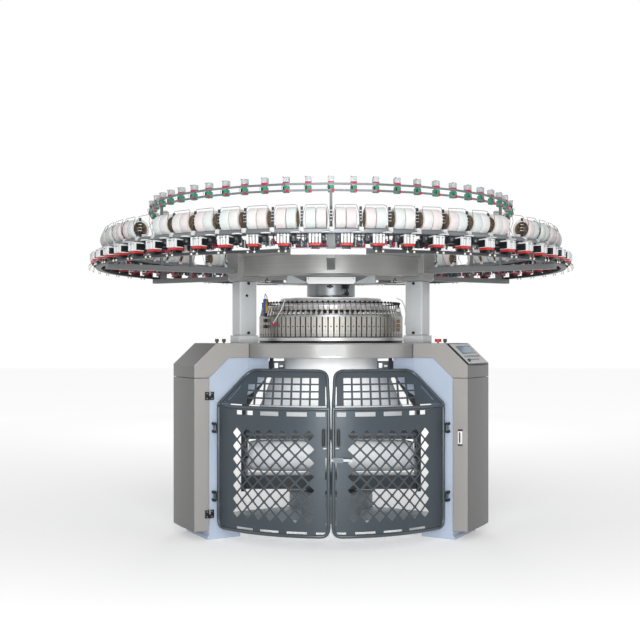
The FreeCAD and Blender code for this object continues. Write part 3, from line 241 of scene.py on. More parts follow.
def moved(x, y, z):
    """Frame of a spot, upright and square to the machine."""
    return Matrix.Translation((x, y, z))


def box_at(mesh, place, low, high, tone=0, bevel=0.0):
    """Block between two corners in the frame of its place, with edges broken by the bevel."""
    made = bmesh.ops.create_cube(mesh, size=1.0)["verts"]
    size = [b - a for a, b in zip(low, high)]
    middle = Vector([(a + b) / 2 for a, b in zip(low, high)])
    local = Matrix.Translation(middle) @ Matrix.Diagonal((*size, 1))
    bmesh.ops.transform(mesh, matrix=place @ local, verts=made)
    faces = {face for vert in made for face in vert.link_faces}
    for face in faces:
        face.material_index = tone
    if bevel:
        edges = list({edge for face in faces for edge in face.edges})
        bmesh.ops.bevel(mesh, geom=edges, offset=bevel, segments=2, affect="EDGES", profile=0.6, material=-1)


def turned_at(mesh, place, profile, tones=0, sides=20, start=0.0, end=360.0):
    """Turned piece: the profile's (radius, height) points swept round the place's own Z.

    Tones is one number, or one for each step of the profile."""
    whole = end - start >= 360
    count = sides if whole else sides + 1
    step_tones = [tones] * len(profile) if isinstance(tones, int) else tones
    angles = [math.radians(start + (end - start) * i / sides) for i in range(count)]
    rings = []
    for radius, height in profile:
        if radius < 1e-6:
            rings.append([mesh.verts.new(place @ Vector((0, 0, height)))])
        else:
            rings.append([mesh.verts.new(place @ Vector((radius * math.cos(a), radius * math.sin(a), height)))
                          for a in angles])
    for step, (below, above) in enumerate(zip(rings, rings[1:])):
        for i in range(sides):
            j = (i + 1) % count
            around = ((below, i), (below, j), (above, j), (above, i))
            corners = list(dict.fromkeys(ring[k % len(ring)] for ring, k in around))
            if len(corners) > 2:
                mesh.faces.new(corners).material_index = step_tones[step]
    if not whole:
        for k in (0, -1):
            mesh.faces.new([ring[k] for ring in rings[:-1]]).material_index = step_tones[0]


def square_ring(inner, outer, low, high):
    """Profile of a flat ring or sleeve."""
    return [(inner, low), (outer, low), (outer, high), (inner, high), (inner, low)]


def as_part(mesh):
    """A finished unit that can be repeated."""
    data = bpy.data.meshes.new("unit")
    bmesh.ops.remove_doubles(mesh, verts=mesh.verts, dist=1e-6)
    bmesh.ops.recalc_face_normals(mesh, faces=mesh.faces)
    mesh.to_mesh(data)
    mesh.free()
    return data


def repeated(units, places):
    """One mesh with the units, in turn, at each of the places."""
    mesh = bmesh.new()
    for i, place in enumerate(places):
        unit = units[i % len(units)].copy()
        unit.transform(place)
        mesh.from_mesh(unit)
        bpy.data.meshes.remove(unit)
    return mesh


def install(name, mesh, body, materials, replaced=(), crease=35):
    """A named piece from its mesh, on its body, in place of the plain nodes it stands for."""
    data = as_part(mesh)
    data.name = name
    data.shade_smooth()
    data.set_sharp_from_angle(angle=math.radians(crease))
    for material in materials:
        data.materials.append(material)
    piece = bpy.data.objects.new(name, data)
    bpy.context.scene.collection.objects.link(piece)
    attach(piece, body)
    if replaced:
        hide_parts(*replaced)
    return piece


def round_place(degrees, radius=0.0, height=0.0):
    """Frame of a spot round the machine: X points outward, Y along the ring, Z up."""
    return Matrix.Rotation(math.radians(degrees), 4, "Z") @ moved(radius, 0, height)


COLUMN_R = 0.600
BAR_HALF = 0.056
FOOT_HALF = 0.064
FOOT_TOP = 1.166
SCREW_HEAD = [(0, 0.006), (0.0042, 0.006), (0.0042, 0.0085), (0.0075, 0.0085), (0.0085, 0.0075),
              (0.0085, 0), (0, 0)]
ground_steel = grained("satin_plated_column_steel", "#B9BDBF", "#CDD0D2", 3, 0.3, 0.34,
                       stretch=(1, 1, 200), edge=2)
screw_black = grained("oil_blackened_steel", "#222427", "#3A3D41", 8, 0.8, 0.4)
bar_low, bar_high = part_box("column_rear")
for leg, degrees in LEG_DEGREES.items():
    column = bmesh.new()
    stand = round_place(degrees, COLUMN_R, 0)
    box_at(column, stand, (-BAR_HALF, -BAR_HALF, FOOT_TOP), (BAR_HALF, BAR_HALF, bar_high.z), 0, 0.009)
    box_at(column, stand, (-FOOT_HALF, -FOOT_HALF, bar_low.z), (FOOT_HALF, FOOT_HALF, FOOT_TOP), 0, 0.003)
    for side in (-1, 1):
        for height in (FOOT_TOP + 0.015, bar_high.z - 0.014):
            sideways = Matrix.Rotation(math.radians(-90 * side), 4, "X")
            turned_at(column, stand @ moved(0, side * BAR_HALF, height) @ sideways, SCREW_HEAD, 1, 12)
    # The tapped hole is a flat black disc inside a bright rim: its dark is painted shade.
    hole = stand @ moved(0.01, 0.0562, 1.402) @ TO_Y
    turned_at(column, hole, [(0, 0), (0.0065, 0), (0.0085, 0.0012), (0.0085, 0.0)], (1, 1, 0), 16)
    install("column_bar_" + leg, column, "root", [ground_steel, screw_black],
            ["column_" + leg])


# Leg brackets and gate catches ------------
# Cast brackets that carry the bed from the legs, enamelled like them, and black catch brackets
# with a bright roller that hold the top edge of each gate.
TO_X = Matrix.Rotation(math.radians(90), 4, "Y")  # lays what stands on Z along X


def slab_at(mesh, place, outline, through, tone=0):
    """Flat piece with an outline of 3-D points, and its other face moved by the vector through it."""
    front = [mesh.verts.new(place @ Vector(p)) for p in outline]
    back = [mesh.verts.new(place @ (Vector(p) + Vector(through))) for p in outline]
    mesh.faces.new(front).material_index = tone
    mesh.faces.new(back[::-1]).material_index = tone
    for k in range(len(outline)):
        j = (k + 1) % len(outline)
        mesh.faces.new((front[k], back[k], back[j], front[j])).material_index = tone


BRACKET = [(0.772, 1.034), (0.515, 1.034), (0.515, 0.932), (0.620, 0.832), (0.700, 0.790), (0.772, 0.770)]
BRACKET_HALF = 0.157
brackets = bmesh.new()
for degrees in LEG_DEGREES.values():
    outline = [(radius, -BRACKET_HALF, height) for radius, height in BRACKET]
    slab_at(brackets, round_place(degrees), outline, (0, 2 * BRACKET_HALF, 0))
install("leg_brackets", brackets, "root", [leg_enamel])

catch_roller = [(0, -0.011), (0.007, -0.010), (0.007, 0.010), (0, 0.011)]
catches = bmesh.new()
for side in (-1, 1):
    catch = moved(side * 0.297, -0.569, 0)
    box_at(catches, catch, (-0.033, -0.018, 0.975), (0.033, 0.017, 1.020), 0, 0.003)
    box_at(catches, catch, (-0.026, -0.022, 0.978), (-0.004, -0.016, 1.008), 1, 0.002)
    turned_at(catches, catch @ moved(0.014, -0.020, 0.990) @ TO_X, catch_roller, 1, 14)
install("gate_catch_brackets", catches, "root", [screw_black, ground_steel])


# Hub, cylinder and drive ------------
# Steel turned and ground bright, with fine marks that run round each piece. The cam drum and the
# gate hinges are furnace blackened, and the belt is black rubber.
bright_steel = grained("ground_bright_steel", "#7A7E81", "#A3A7AA", 2, 0.9, 0.36, stretch=(200, 200, 1))
coat(bright_steel, "hub_drum", "guide_ring", "needle_cylinder", "slewing_bearing", "roll_shaft", "ring_gear",
     "drive_shaft", "motor_pulley", "latch_bolt")
blued_steel = grained("furnace_blackened_steel", "#17191B", "#2C2F32", 30, 0.7, 0.4)
coat(blued_steel, "cam_drum", "gate_hinges")
belt_rubber = grained("black_belt_rubber", "#141414", "#232323", 5, 0.0, 0.8, bump=0.2)
coat(belt_rubber, "drive_belt")

# Knobs and clamps that hang on the hub: a T screw in front, a clamp with its lever and a ball
# knob at the right. All of blackened steel but for one bright block.
HUB_R = 0.151
hub_fittings = bmesh.new()
front_face = round_place(268, HUB_R, 1.466)
stem = [(0, 0), (0.007, 0), (0.007, 0.014), (0.012, 0.016), (0.012, 0.026), (0, 0.028)]
turned_at(hub_fittings, front_face @ TO_X, stem, 0, 14)
box_at(hub_fittings, front_face, (0.016, -0.020, -0.006), (0.026, 0.020, 0.006), 0, 0.003)
side_face = round_place(302, HUB_R, 1.470)
box_at(hub_fittings, side_face, (0, -0.018, -0.018), (0.030, 0.018, 0.014), 0, 0.003)
clamp = [(0, -0.050), (0.006, -0.050), (0.006, 0), (0.016, 0.004), (0.016, 0.016), (0, 0.018)]
turned_at(hub_fittings, side_face @ moved(0.034, 0, -0.004), clamp, 0, 14)
ball = [(0, -0.014), (0.010, -0.010), (0.013, 0), (0.010, 0.010), (0, 0.014)]
turned_at(hub_fittings, round_place(306, HUB_R + 0.018, 1.424), ball, 0, 14)
box_at(hub_fittings, round_place(298, HUB_R, 1.436), (0, -0.006, -0.016), (0.020, 0.006, 0.022), 1, 0.002)
install("hub_knobs", hub_fittings, "root", [screw_black, bright_steel])


# Dial ------------
# Upper needle plate on its shaft with a broad pale flange that shows over the fingers. Steel,
# turned and nickel plated.
CENTRE = Matrix.Identity(4)
dial_low, dial_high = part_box("dial")
dial_plate = bmesh.new()
dial_profile = [(0, dial_low.z), (dial_high.x, dial_low.z), (dial_high.x, 1.345), (0.366, 1.350),
                (0.330, 1.352), (0.322, 1.374), (0.318, 1.380), (0.318, 1.390), (0.314, 1.394),
                (0.130, 1.397), (0.060, 1.402), (0.045, 1.404), (0.045, dial_high.z), (0, dial_high.z)]
turned_at(dial_plate, CENTRE, dial_profile, 0, 96)
pale_steel = grained("satin_nickel_plated_steel", "#BEBFBF", "#D8D8D7", 2, 0.6, 0.35, stretch=(200, 200, 1))
install("dial_flange", dial_plate, "dial", [pale_steel], ["dial"])


# Cam boxes ------------
# Ring of 84 chromed plates over the cams, each with its adjusting holes. Polished by hand, so
# that the room shows in them unevenly. They sit on a ring with a dark notch at every joint.
def sheet_mesh(outline, holes, lines, shape, thickness):
    """Sheet with holes, drawn flat and then bent by shape(across, up, depth) to its real form.

    The lines are extra edges, drawn so that the sheet has points where it bends."""
    spots = []
    edges = []
    for loop in [outline] + holes:
        start = len(spots)
        spots += [Vector(p) for p in loop]
        edges += [(start + i, start + (i + 1) % len(loop)) for i in range(len(loop))]
    for one, two in lines:
        edges.append((len(spots), len(spots) + 1))
        spots += [Vector(one), Vector(two)]
    flat = geometry.delaunay_2d_cdt(spots, edges, [], 0, 1e-6)
    verts, faces = flat[0], flat[2]

    def inside(point, loop):
        odd = False
        for (x0, y0), (x1, y1) in zip(loop, loop[1:] + loop[:1]):
            if (y0 > point.y) != (y1 > point.y) and point.x < (x1 - x0) * (point.y - y0) / (y1 - y0) + x0:
                odd = not odd
        return odd

    kept = []
    for face in faces:
        middle = sum((verts[i] for i in face), Vector((0, 0))) / len(face)
        if inside(middle, outline) and not any(inside(middle, hole) for hole in holes):
            kept.append(face)
    mesh = bmesh.new()
    front = [mesh.verts.new(shape(v.x, v.y, thickness / 2)) for v in verts]
    back = [mesh.verts.new(shape(v.x, v.y, -thickness / 2)) for v in verts]
    borders = set()
    for face in kept:
        mesh.faces.new([front[i] for i in face])
        mesh.faces.new([back[i] for i in reversed(face)])
        borders.update(zip(face, face[1:] + face[:1]))
    for i, j in borders:
        if (j, i) not in borders:
            mesh.faces.new((front[j], front[i], back[i], back[j]))
    bmesh.ops.delete(mesh, geom=[v for v in mesh.verts if not v.link_faces], context="VERTS")
    return mesh


def disc_points(height, radius):
    """Corners of a round hole in the middle line of a plate."""
    angles = [math.radians(30 * i) for i in range(12)]
    return [(radius * math.cos(a), height + radius * math.sin(a)) for a in angles]


def places_round(count, radius, height, first=0.0):
    """Frames spread evenly round the machine, from this many steps after X."""
    return [round_place((i + first) * 360 / count, radius, height) for i in range(count)]


CAM_BOXES = 84
drum_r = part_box("cam_drum")[1].x
plate_low, plate_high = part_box("cam_plates")
plate_height = plate_high.z - plate_low.z
plate_half = (2 * math.pi * drum_r / CAM_BOXES - 0.0075) / 2
plate_outline = [(-plate_half, 0), (plate_half, 0), (plate_half, plate_height), (-plate_half, plate_height)]
plate_holes = [disc_points(plate_height * share, radius)
               for share, radius in ((0.42, 0.0045), (0.14, 0.0028), (0.93, 0.0018))]
cam_unit = as_part(sheet_mesh(plate_outline, plate_holes, [], lambda x, y, z: Vector((z, x, y)), 0.012))
polished_plate = grained("polished_chromed_steel", "#98958F", "#BDBAB4", 22, 0.8, 0.46)
cam_plates = repeated([cam_unit], places_round(CAM_BOXES, drum_r + 0.007, plate_low.z))
install("cam_box_plates", cam_plates, "root", [polished_plate], ["cam_plates"])

ring_low, ring_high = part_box("cam_ring")
ring_in = 0.398
cam_ring = bmesh.new()
ring_profile = [(ring_in, ring_low.z), (0.452, ring_low.z), (0.452, 1.130), (ring_high.x, 1.133),
                (ring_high.x, 1.150), (0.457, 1.153), (0.450, 1.158), (0.449, ring_high.z),
                (ring_in, ring_high.z), (ring_in, ring_low.z)]
turned_at(cam_ring, CENTRE, ring_profile, (1, 1, 1, 0, 0, 1, 2, 2, 1), 2 * CAM_BOXES)
for notch in places_round(CAM_BOXES, 0.449, 1.157, 0.5):
    box_at(cam_ring, notch, (-0.006, -0.0035, 0), (0.0015, 0.0035, 0.019), 1)
grey_lacquer = grained("grey_lacquered_steel", "#8E8D8B", "#A9A8A5", 12, 0.5, 0.4)
install("cam_box_ring", cam_ring, "root", [pale_steel, blued_steel, grey_lacquer],
        ["cam_ring"])


# Yarn guide fingers ------------
# Bent steel fingers over the cam boxes that lead each yarn to its needles: two short blades, a
# wire and an eyelet, 84 round the guide ring, under a dark round rail.
def join_rings(mesh, one, two, tone=0):
    """Faces all round between two rings with the same number of points."""
    for k in range(len(one)):
        j = (k + 1) % len(one)
        mesh.faces.new((one[k], one[j], two[j], two[k])).material_index = tone


def rod_at(mesh, place, points, radius, tone=0, sides=8, closed=False):
    """Round bar or wire bent along points; its ends are capped unless it closes on itself."""
    spots = [place @ Vector(p) for p in points]
    count = len(spots)
    rings = []
    side = None
    for i, spot in enumerate(spots):
        before = spots[i - 1] if i or closed else spot
        after = spots[(i + 1) % count] if i < count - 1 or closed else spot
        along = (after - before).normalized()
        if side is None:
            side = along.orthogonal().normalized()
        side = (side - along * side.dot(along)).normalized()
        up = along.cross(side)
        rings.append([mesh.verts.new(spot + radius * (side * math.cos(a) + up * math.sin(a)))
                      for a in (2 * math.pi * k / sides for k in range(sides))])
    for one, two in zip(rings, rings[1:]):
        join_rings(mesh, one, two, tone)
    if closed:
        shift = min(range(sides), key=lambda s: (rings[0][s].co - rings[-1][0].co).length)
        join_rings(mesh, rings[-1], rings[0][shift:] + rings[0][:shift])
    else:
        mesh.faces.new(rings[0][::-1]).material_index = tone
        mesh.faces.new(rings[-1]).material_index = tone


def arc_points(radius, height, steps):
    """Points along a whole circle round the machine's axis."""
    angles = [math.radians(360 * i / steps) for i in range(steps)]
    return [(radius * math.cos(a), radius * math.sin(a), height) for a in angles]


guide_low, guide_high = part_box("yarn_guides")
guide_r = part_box("guide_ring")[1].x
finger = bmesh.new()
for low, high, half, lean in ((0.003, 0.026, 0.0105, 0.0), (0.030, 0.054, 0.0095, 0.006)):
    blade = [(-0.006 - lean, -half, low), (-0.006 - lean, half * 0.5, low),
             (-0.010 - lean, half * 0.1, high), (-0.010 - lean, -half * 0.8, high)]
    slab_at(finger, CENTRE, blade, (-0.004, 0, 0))
wire = [(-0.006, 0.007, 0), (-0.016, 0.008, 0.03), (-0.024, 0.005, 0.066), (-0.020, -0.004, 0.076)]
rod_at(finger, CENTRE, wire, 0.0018, 1, 6)
eyelet = [(0, 0), (0.006, 0.001), (0.0072, 0.004), (0.005, 0.008), (0, 0.0085)]
turned_at(finger, moved(-0.022, 0, 0.077), eyelet, 1, 8)
fingers = repeated([as_part(finger)], places_round(CAM_BOXES, guide_r, guide_low.z, 0.5))
guide_rail = arc_points(guide_r - 0.026, guide_high.z - 0.010, 2 * CAM_BOXES)
rod_at(fingers, CENTRE, guide_rail, 0.0035, 1, 6, closed=True)
install("yarn_guide_fingers", fingers, "root", [polished_plate, screw_black],
        ["yarn_guides"])


# Fittings at the cam boxes ------------
# A blue moulded lubricator block with a brass strip, its loop of cable, and soft plastic tubes
# that hang from the guide ring on both sides and end in crimson, milky and brown connectors.
fittings = bmesh.new()
block_place = round_place(210.7, 0.455, 1.297)
box_at(fittings, block_place, (0, -0.008, 0), (0.020, 0.008, 0.090), 0, 0.002)
box_at(fittings, block_place, (0, 0.010, 0.004), (0.014, 0.024, 0.086), 1, 0.001)
barrel = [(0, -0.01), (0.009, -0.008), (0.009, 0.008), (0, 0.01)]
turned_at(fittings, block_place @ moved(0.010, -0.022, 0.046), barrel, 2, 12)
cable = [(0.010, 0, 0.088), (0.014, 0.004, 0.106), (0.016, 0.014, 0.120), (0.014, 0.026, 0.108),
         (0.010, 0.032, 0.084), (0.006, 0.034, 0.040)]
rod_at(fittings, block_place, cable, 0.0022, 2, 6)
for height in (-0.018, -0.052, -0.088):
    box_at(fittings, block_place, (0, -0.006 + height / 8, height), (0.016, 0.014, height + 0.020), 2, 0.003)
left_tube = [(-0.274, -0.388, 1.374), (-0.282, -0.392, 1.345), (-0.295, -0.386, 1.315),
             (-0.320, -0.366, 1.275), (-0.345, -0.338, 1.238)]
right_tube = [(0.394, -0.291, 1.389), (0.430, -0.262, 1.374), (0.446, -0.248, 1.340),
              (0.455, -0.236, 1.300), (0.450, -0.226, 1.228)]
for soft_tube in (left_tube, right_tube):
    rod_at(fittings, CENTRE, soft_tube, 0.003, 3, 8)
box_at(fittings, round_place(223, 0.462, 1.226), (0, -0.012, 0), (0.012, 0.016, 0.018), 4, 0.002)
connector = [(0, -0.010), (0.014, -0.008), (0.014, 0.008), (0, 0.010)]
turned_at(fittings, round_place(330, 0.470, 1.318), connector, 3, 12)
for height in (1.190, 1.215, 1.242):
    box_at(fittings, round_place(331, 0.462, height), (0, -0.010, 0), (0.014, 0.012, 0.020), 5, 0.003)
blue_moulding = grained("blue_moulded_nylon", "#1E49B4", "#2A58C8", 20, 0.0, 0.35)
brass = grained("brass_strip", "#C99A2E", "#DDB04A", 10, 1.0, 0.3)
tube_plastic = grained("milky_tube_plastic", "#E2E4E2", "#F0F1EF", 10, 0.0, 0.3, ior=1.45)
crimson_plastic = grained("crimson_moulded_plastic", "#B91C4A", "#CC2556", 10, 0.0, 0.35)
brown_oxide = grained("brown_copper_fittings", "#7A5C48", "#94745E", 8, 0.6, 0.45)
install("cam_box_fittings", fittings, "root",
        [blue_moulding, brass, screw_black, tube_plastic, crimson_plastic, brown_oxide])


# Blank plates ------------
# A white enamelled plate with a dark rim on a bracket of the hub, and a bare aluminium plate
# bent round the edge of the bed. Both left blank.
TO_FRONT = Matrix.Rotation(math.radians(90), 4, "X")  # turns what stands on Z to the front
plates_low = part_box("name_plates")[0]
plates = bmesh.new()
PLATE_HALF = 0.153
plate_front, plate_top, plate_foot, corner = -0.195, 1.527, 1.477, 0.014
for inset, front, depth, tone in ((0.0, plate_front, 0.004, 0), (0.0035, plate_front - 0.0006, 0.0006, 1)):
    outline = [(-PLATE_HALF + corner, plate_foot + inset), (PLATE_HALF - corner, plate_foot + inset),
               (PLATE_HALF - inset, plate_foot + corner), (PLATE_HALF - inset, plate_top - inset),
               (-PLATE_HALF + inset, plate_top - inset), (-PLATE_HALF + inset, plate_foot + corner)]
    slab_at(plates, CENTRE, [(x, front, z) for x, z in outline], (0, depth, 0), tone)
box_at(plates, CENTRE, (-0.030, plate_front + 0.004, 1.484), (0.030, -0.146, 1.512), 0, 0.002)
plate_screw = [(0, 0), (0.004, 0), (0.003, 0.002), (0, 0.0025)]
for x in (-0.138, 0.138):
    turned_at(plates, moved(x, plate_front - 0.0006, 1.514) @ TO_FRONT, plate_screw, 3, 10)
LABEL_DEGREES = 6.28
turned_at(plates, CENTRE, square_ring(0.665, 0.6665, 1.050, plates_low.z + 0.062), 2, 10,
          270 - LABEL_DEGREES, 270 + LABEL_DEGREES)
white_enamel = grained("white_enamelled_plate", "#F2F3F3", "#FAFAFA", 60, 0.0, 0.25)
bare_aluminium = grained("brushed_bare_aluminium", "#B9BABA", "#C9CAC9", 2, 0.4, 0.6, stretch=(60, 60, 1))
install("blank_plates", plates, "root",
        [screw_black, white_enamel, bare_aluminium, bright_steel], ["name_plates"])


# Crown fittings ------------
# A white band over the front arc of the crown's top edge, a painted highlight, and a maroon strip with white
# clips round the front of the crown; lifting eyes and the small levers between the heads and the hub, with
# flat blades under the casting.
CLIP_R = 0.6585
LEVER_BLADE = [(0.256, 1.462), (0.250, 1.508), (0.226, 1.508), (0.140, 1.470), (0.146, 1.462)]
crown_bits = bmesh.new()
# The white band lies only over the front arc, where the edge catches the front lamp: a painted highlight.
crown_edge_painted_highlight = [(0.658, 1.630), (0.6628, 1.631), (0.6632, 1.658), (0.658, 1.6605), (0.656, 1.645),
               (0.658, 1.630)]
turned_at(crown_bits, CENTRE, crown_edge_painted_highlight, 0, 30, 249.8, 287.3)
strip = [(0.640, 1.660), (0.655, 1.660), (0.655, 1.680), (0.640, 1.682), (0.640, 1.660)]
turned_at(crown_bits, CENTRE, strip, 1, 24, 252.2, 287.0)
clip_head = [(0, 0), (0.005, 0.001), (0.005, 0.006), (0, 0.008)]
for x in (-0.062, 0.006, 0.112, 0.174):
    spot = moved(x, -math.sqrt(CLIP_R ** 2 - x ** 2), 1.667)
    box_at(crown_bits, spot, (-0.006, -0.002, 0), (0.006, 0.010, 0.024), 0, 0.002)
    box_at(crown_bits, spot, (-0.0025, 0.000, 0.020), (0.0025, 0.006, 0.046), 0, 0.001)
    turned_at(crown_bits, spot @ moved(0, 0.003, 0.046), clip_head, 2, 8)
lever_end = [(0, -0.004), (0.008, -0.004), (0.008, 0.004), (0, 0.006)]
for side in (-1, 1):
    eye = moved(side * 0.364, -0.600, 1.472)
    rod_at(crown_bits, eye @ TO_FRONT, arc_points(0.009, 0, 14), 0.003, 2, 6, closed=True)
    rod_at(crown_bits, eye, [(0, 0, 0.009), (0, 0, 0.02)], 0.003, 2, 8)
    lever = moved(side * 0.305, -0.560, 1.474)
    box_at(crown_bits, lever, (-0.038, -0.006, -0.006), (0.038, 0.006, 0.006), 2, 0.002)
    turned_at(crown_bits, moved(side * 0.264, -0.566, 1.474) @ TO_FRONT, lever_end, 0, 12)
    blade = [(side * x, -0.556, z) for x, z in LEVER_BLADE]
    slab_at(crown_bits, CENTRE, blade, (0, 0.010, 0), 3)
    foot = moved(side * 0.365, -0.545, 1.456)
    box_at(crown_bits, foot, (-0.060, -0.020, -0.0015), (0.060, 0.020, 0.0015), 2)
maroon_strip = grained("maroon_rubber_strip", "#6B2038", "#7C2A44", 12, 0.0, 0.55)
lever_steel = grained("grey_cast_levers", "#75797C", "#8A8E91", 8, 0.4, 0.45)
install("crown_fittings", crown_bits, "root",
        [white_enamel, maroon_strip, screw_black, lever_steel])


# Gates ------------
# Two safety gates bowed round the front of the bay: a round tube bent to the border and one
# across the waist, welded to perforated steel sheets, powder coated dark blue-grey.
GATE_R = 0.870
GATE_MID = math.radians(24)
WAIST_Z = 0.775
LEAN = 0.210 / 0.199


def gate_radius(height):
    """Radius of the gates' skin; it leans in over the waist."""
    return GATE_R - LEAN * max(0.0, height - WAIST_Z)


def gate_spot(side, across, height, out=0.0):
    """Point on a gate at this distance from its middle line, outward by so much."""
    radius = gate_radius(height)
    angle = GATE_MID - math.asin(across / radius)
    return Vector((side * (radius + out) * math.sin(angle), -(radius + out) * math.cos(angle), height))


def straight_on(x, height):
    """Distance from the gate's middle line of what lies this far from the machine's middle plane."""
    radius = gate_radius(height)
    return radius * math.sin(GATE_MID - math.asin(x / radius))


def rounded_path(corners, spacing=0.03):
    """Closed path through (across, up, radius) corners, rounded, with long runs divided."""
    turns = []
    for i, (x, y, radius) in enumerate(corners):
        here = Vector((x, y))
        before = Vector(corners[i - 1][:2])
        after = Vector(corners[(i + 1) % len(corners)][:2])
        one = here + (before - here).normalized() * radius
        two = here + (after - here).normalized() * radius
        turns += [one * (1 - t) ** 2 + here * 2 * t * (1 - t) + two * t * t
                  for t in (0, 0.2, 0.4, 0.6, 0.8, 1)]
    path = []
    for point, following in zip(turns, turns[1:] + turns[:1]):
        parts = max(1, round((following - point).length / spacing))
        path += [point.lerp(following, k / parts) for k in range(parts)]
    return path


def ahead_box(x0, x1, z0, z1):
    """Four corners of a hole that looks upright and square from the front."""
    return [(straight_on(x, z), z) for x, z in ((x0, z0), (x1, z0), (x1, z1), (x0, z1))]


HINGE_EDGE, FREE_EDGE = -0.3439, 0.3419
BORDER = [(HINGE_EDGE, WAIST_Z, 0.012), (HINGE_EDGE, 0.075, 0.045), (FREE_EDGE, 0.075, 0.045),
          (FREE_EDGE, WAIST_Z, 0.012), (0.252, 0.9645, 0.05), (-0.228, 0.9645, 0.05)]
DIAMOND = [(0.9, -0.1), (0.9, 0.1), (0.1, 0.9), (-0.1, 0.9), (-0.9, 0.1), (-0.9, -0.1), (-0.1, -0.9),
           (0.1, -0.9)]
DIAMOND_WIDE, DIAMOND_HIGH = 0.0302, 0.0307
PITCH_ACROSS, PITCH_UP = 0.073, 0.037
lower_holes = []
for row in range(13):
    odd = row % 2
    for column in range(7 - odd):
        x = 0.021 + (column - 3 + odd / 2) * PITCH_ACROSS
        z = 0.177 + PITCH_UP * row
        lower_holes.append([(x + DIAMOND_WIDE * dx, z + DIAMOND_HIGH * dz) for dx, dz in DIAMOND])
for k in range(4):
    start = -0.199 + 0.159 * k
    end = min(start + 0.112, 0.325)
    lower_holes.append([(start, 0.724), (end, 0.724), (end, 0.748), (start, 0.748)])
    lower_holes.append([(start, 0.0873), (end, 0.0873), (end, 0.0993), (start, 0.0993)])
lower_holes += [ahead_box(0.024, 0.031, 0.140, 0.324), ahead_box(0.024, 0.031, 0.383, 0.502),
                ahead_box(0.024, 0.044, 0.549, 0.557)]
upper_holes = [ahead_box(0.024, 0.031, 0.785, 0.880)]
for row, holes in enumerate((8, 8, 8, 7)):
    z = 0.783 + 0.038 * row
    upper_holes += [ahead_box(0.069 + 0.0516 * k, 0.110 + 0.0516 * k, z, z + 0.029) for k in range(holes)]
slant = ((0.576, 0.799), (0.586, 0.799), (0.521, 0.875), (0.511, 0.875))
upper_holes.append([(straight_on(x, z), z) for x, z in slant])
lower_corners = [(-0.338, 0.757, 0.004), (-0.338, 0.081, 0.039), (0.336, 0.081, 0.039), (0.336, 0.757, 0.004)]
lower_edge = [tuple(p) for p in rounded_path(lower_corners, 1)]
upper_edge = [(-0.338, 0.781), (0.336, 0.781), (0.2465, 0.960), (-0.2225, 0.960)]
bends = [0.03 * k - 0.33 for k in range(23)]
gate_paint = grained("dark_blue_grey_powder_coat", "#39434A", "#465057", 3, 0.25, 0.34, edge=2)
welded_tube = grained("dark_blue_grey_gloss_coat", "#3B454C", "#48525A", 3, 0.4, 0.22, **{"Coat Weight": 0.5})
black_moulding = grained("black_moulded_grip", "#17181A", "#232527", 15, 0.0, 0.4)
for side, name in ((-1, "left"), (1, "right")):
    def bent(across, up, depth, side=side):
        return gate_spot(side, across, up, depth)

    tubes = bmesh.new()
    rod_at(tubes, CENTRE, [gate_spot(side, *p) for p in rounded_path(BORDER)], 0.010, 0, 12, closed=True)
    acrosses = [HINGE_EDGE + (FREE_EDGE - HINGE_EDGE) * k / 24 for k in range(25)]
    waist = [gate_spot(side, across, WAIST_Z - 0.010) for across in acrosses]
    rod_at(tubes, CENTRE, waist, 0.010, 0, 12)
    for height in (0.250, 0.640):
        knuckle = moved(side * 0.6592, -0.5985, height)
        turned_at(tubes, knuckle, square_ring(0.0051, 0.009, -0.015, 0.015), 0, 16)
        strap = moved(side * 0.6367, -0.5855, height)
        turn = Vector((side * 0.0225, -0.013, 0)).to_track_quat("X", "Z").to_matrix().to_4x4()
        box_at(tubes, strap @ turn, (0, -0.003, -0.015), (0.020, 0.003, 0.015))
    if name == "right":
        for front, back, foot, top in ((-0.900, -0.8715, 0.499, 0.506), (-0.900, -0.8715, 0.478, 0.485),
                                       (-0.900, -0.896, 0.485, 0.499), (-0.884, -0.8715, 0.485, 0.499)):
            box_at(tubes, CENTRE, (0.012, front, foot), (0.066, back, top))
    install("gate_tubes_" + name, tubes, "gate_" + name, [welded_tube], ["gate_frame_" + name])
    skins = sheet_mesh(lower_edge, lower_holes, [((x, 0.05), (x, 0.80)) for x in bends], bent, 0.003)
    upper = as_part(sheet_mesh(upper_edge, upper_holes, [((x, 0.77), (x, 0.98)) for x in bends], bent, 0.003))
    skins.from_mesh(upper)
    bpy.data.meshes.remove(upper)
    install("gate_sheets_" + name, skins, "gate_" + name, [gate_paint], ["gate_panel_" + name])
    grip = bmesh.new()
    grip_low, grip_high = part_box("gate_handle_" + name)
    x = (grip_low.x + grip_high.x) / 2
    front = grip_low.y + 0.008
    dome = [(0, 0), (0.003, 0.001), (0.006, 0.003), (0.008, 0.008)]
    grip_profile = [(r, grip_low.z + z) for r, z in dome] + [(r, grip_high.z - z) for r, z in dome[::-1]]
    turned_at(grip, moved(x, front, 0), grip_profile, 0, 16)
    for z in (grip_low.z + 0.014, grip_high.z - 0.014):
        rod_at(grip, CENTRE, [(x, front, z), (x, grip_high.y, z)], 0.006, 0, 10)
    install("gate_grip_" + name, grip, "gate_" + name, [black_moulding],
            ["gate_handle_" + name])


# Take-down ------------
# Frames that turn with the cylinder and carry three draw rollers and the roll of fabric. Plate
# and cast parts are painted near black, and the rollers are ground steel with a dark coat.
black_paint = grained("near_black_machine_enamel", "#24292D", "#32383D", 20, 0.2, 0.38, edge=3)
coat(black_paint, "takedown_arms", "side_frames", "cross_beam")
roller_coat = grained("dark_coated_roller_steel", "#54585A", "#686C6E", 2, 0.7, 0.42, stretch=(1, 60, 60),
                      bump=0.1)
coat(roller_coat, "draw_roller_front", "draw_roller_middle", "draw_roller_rear")


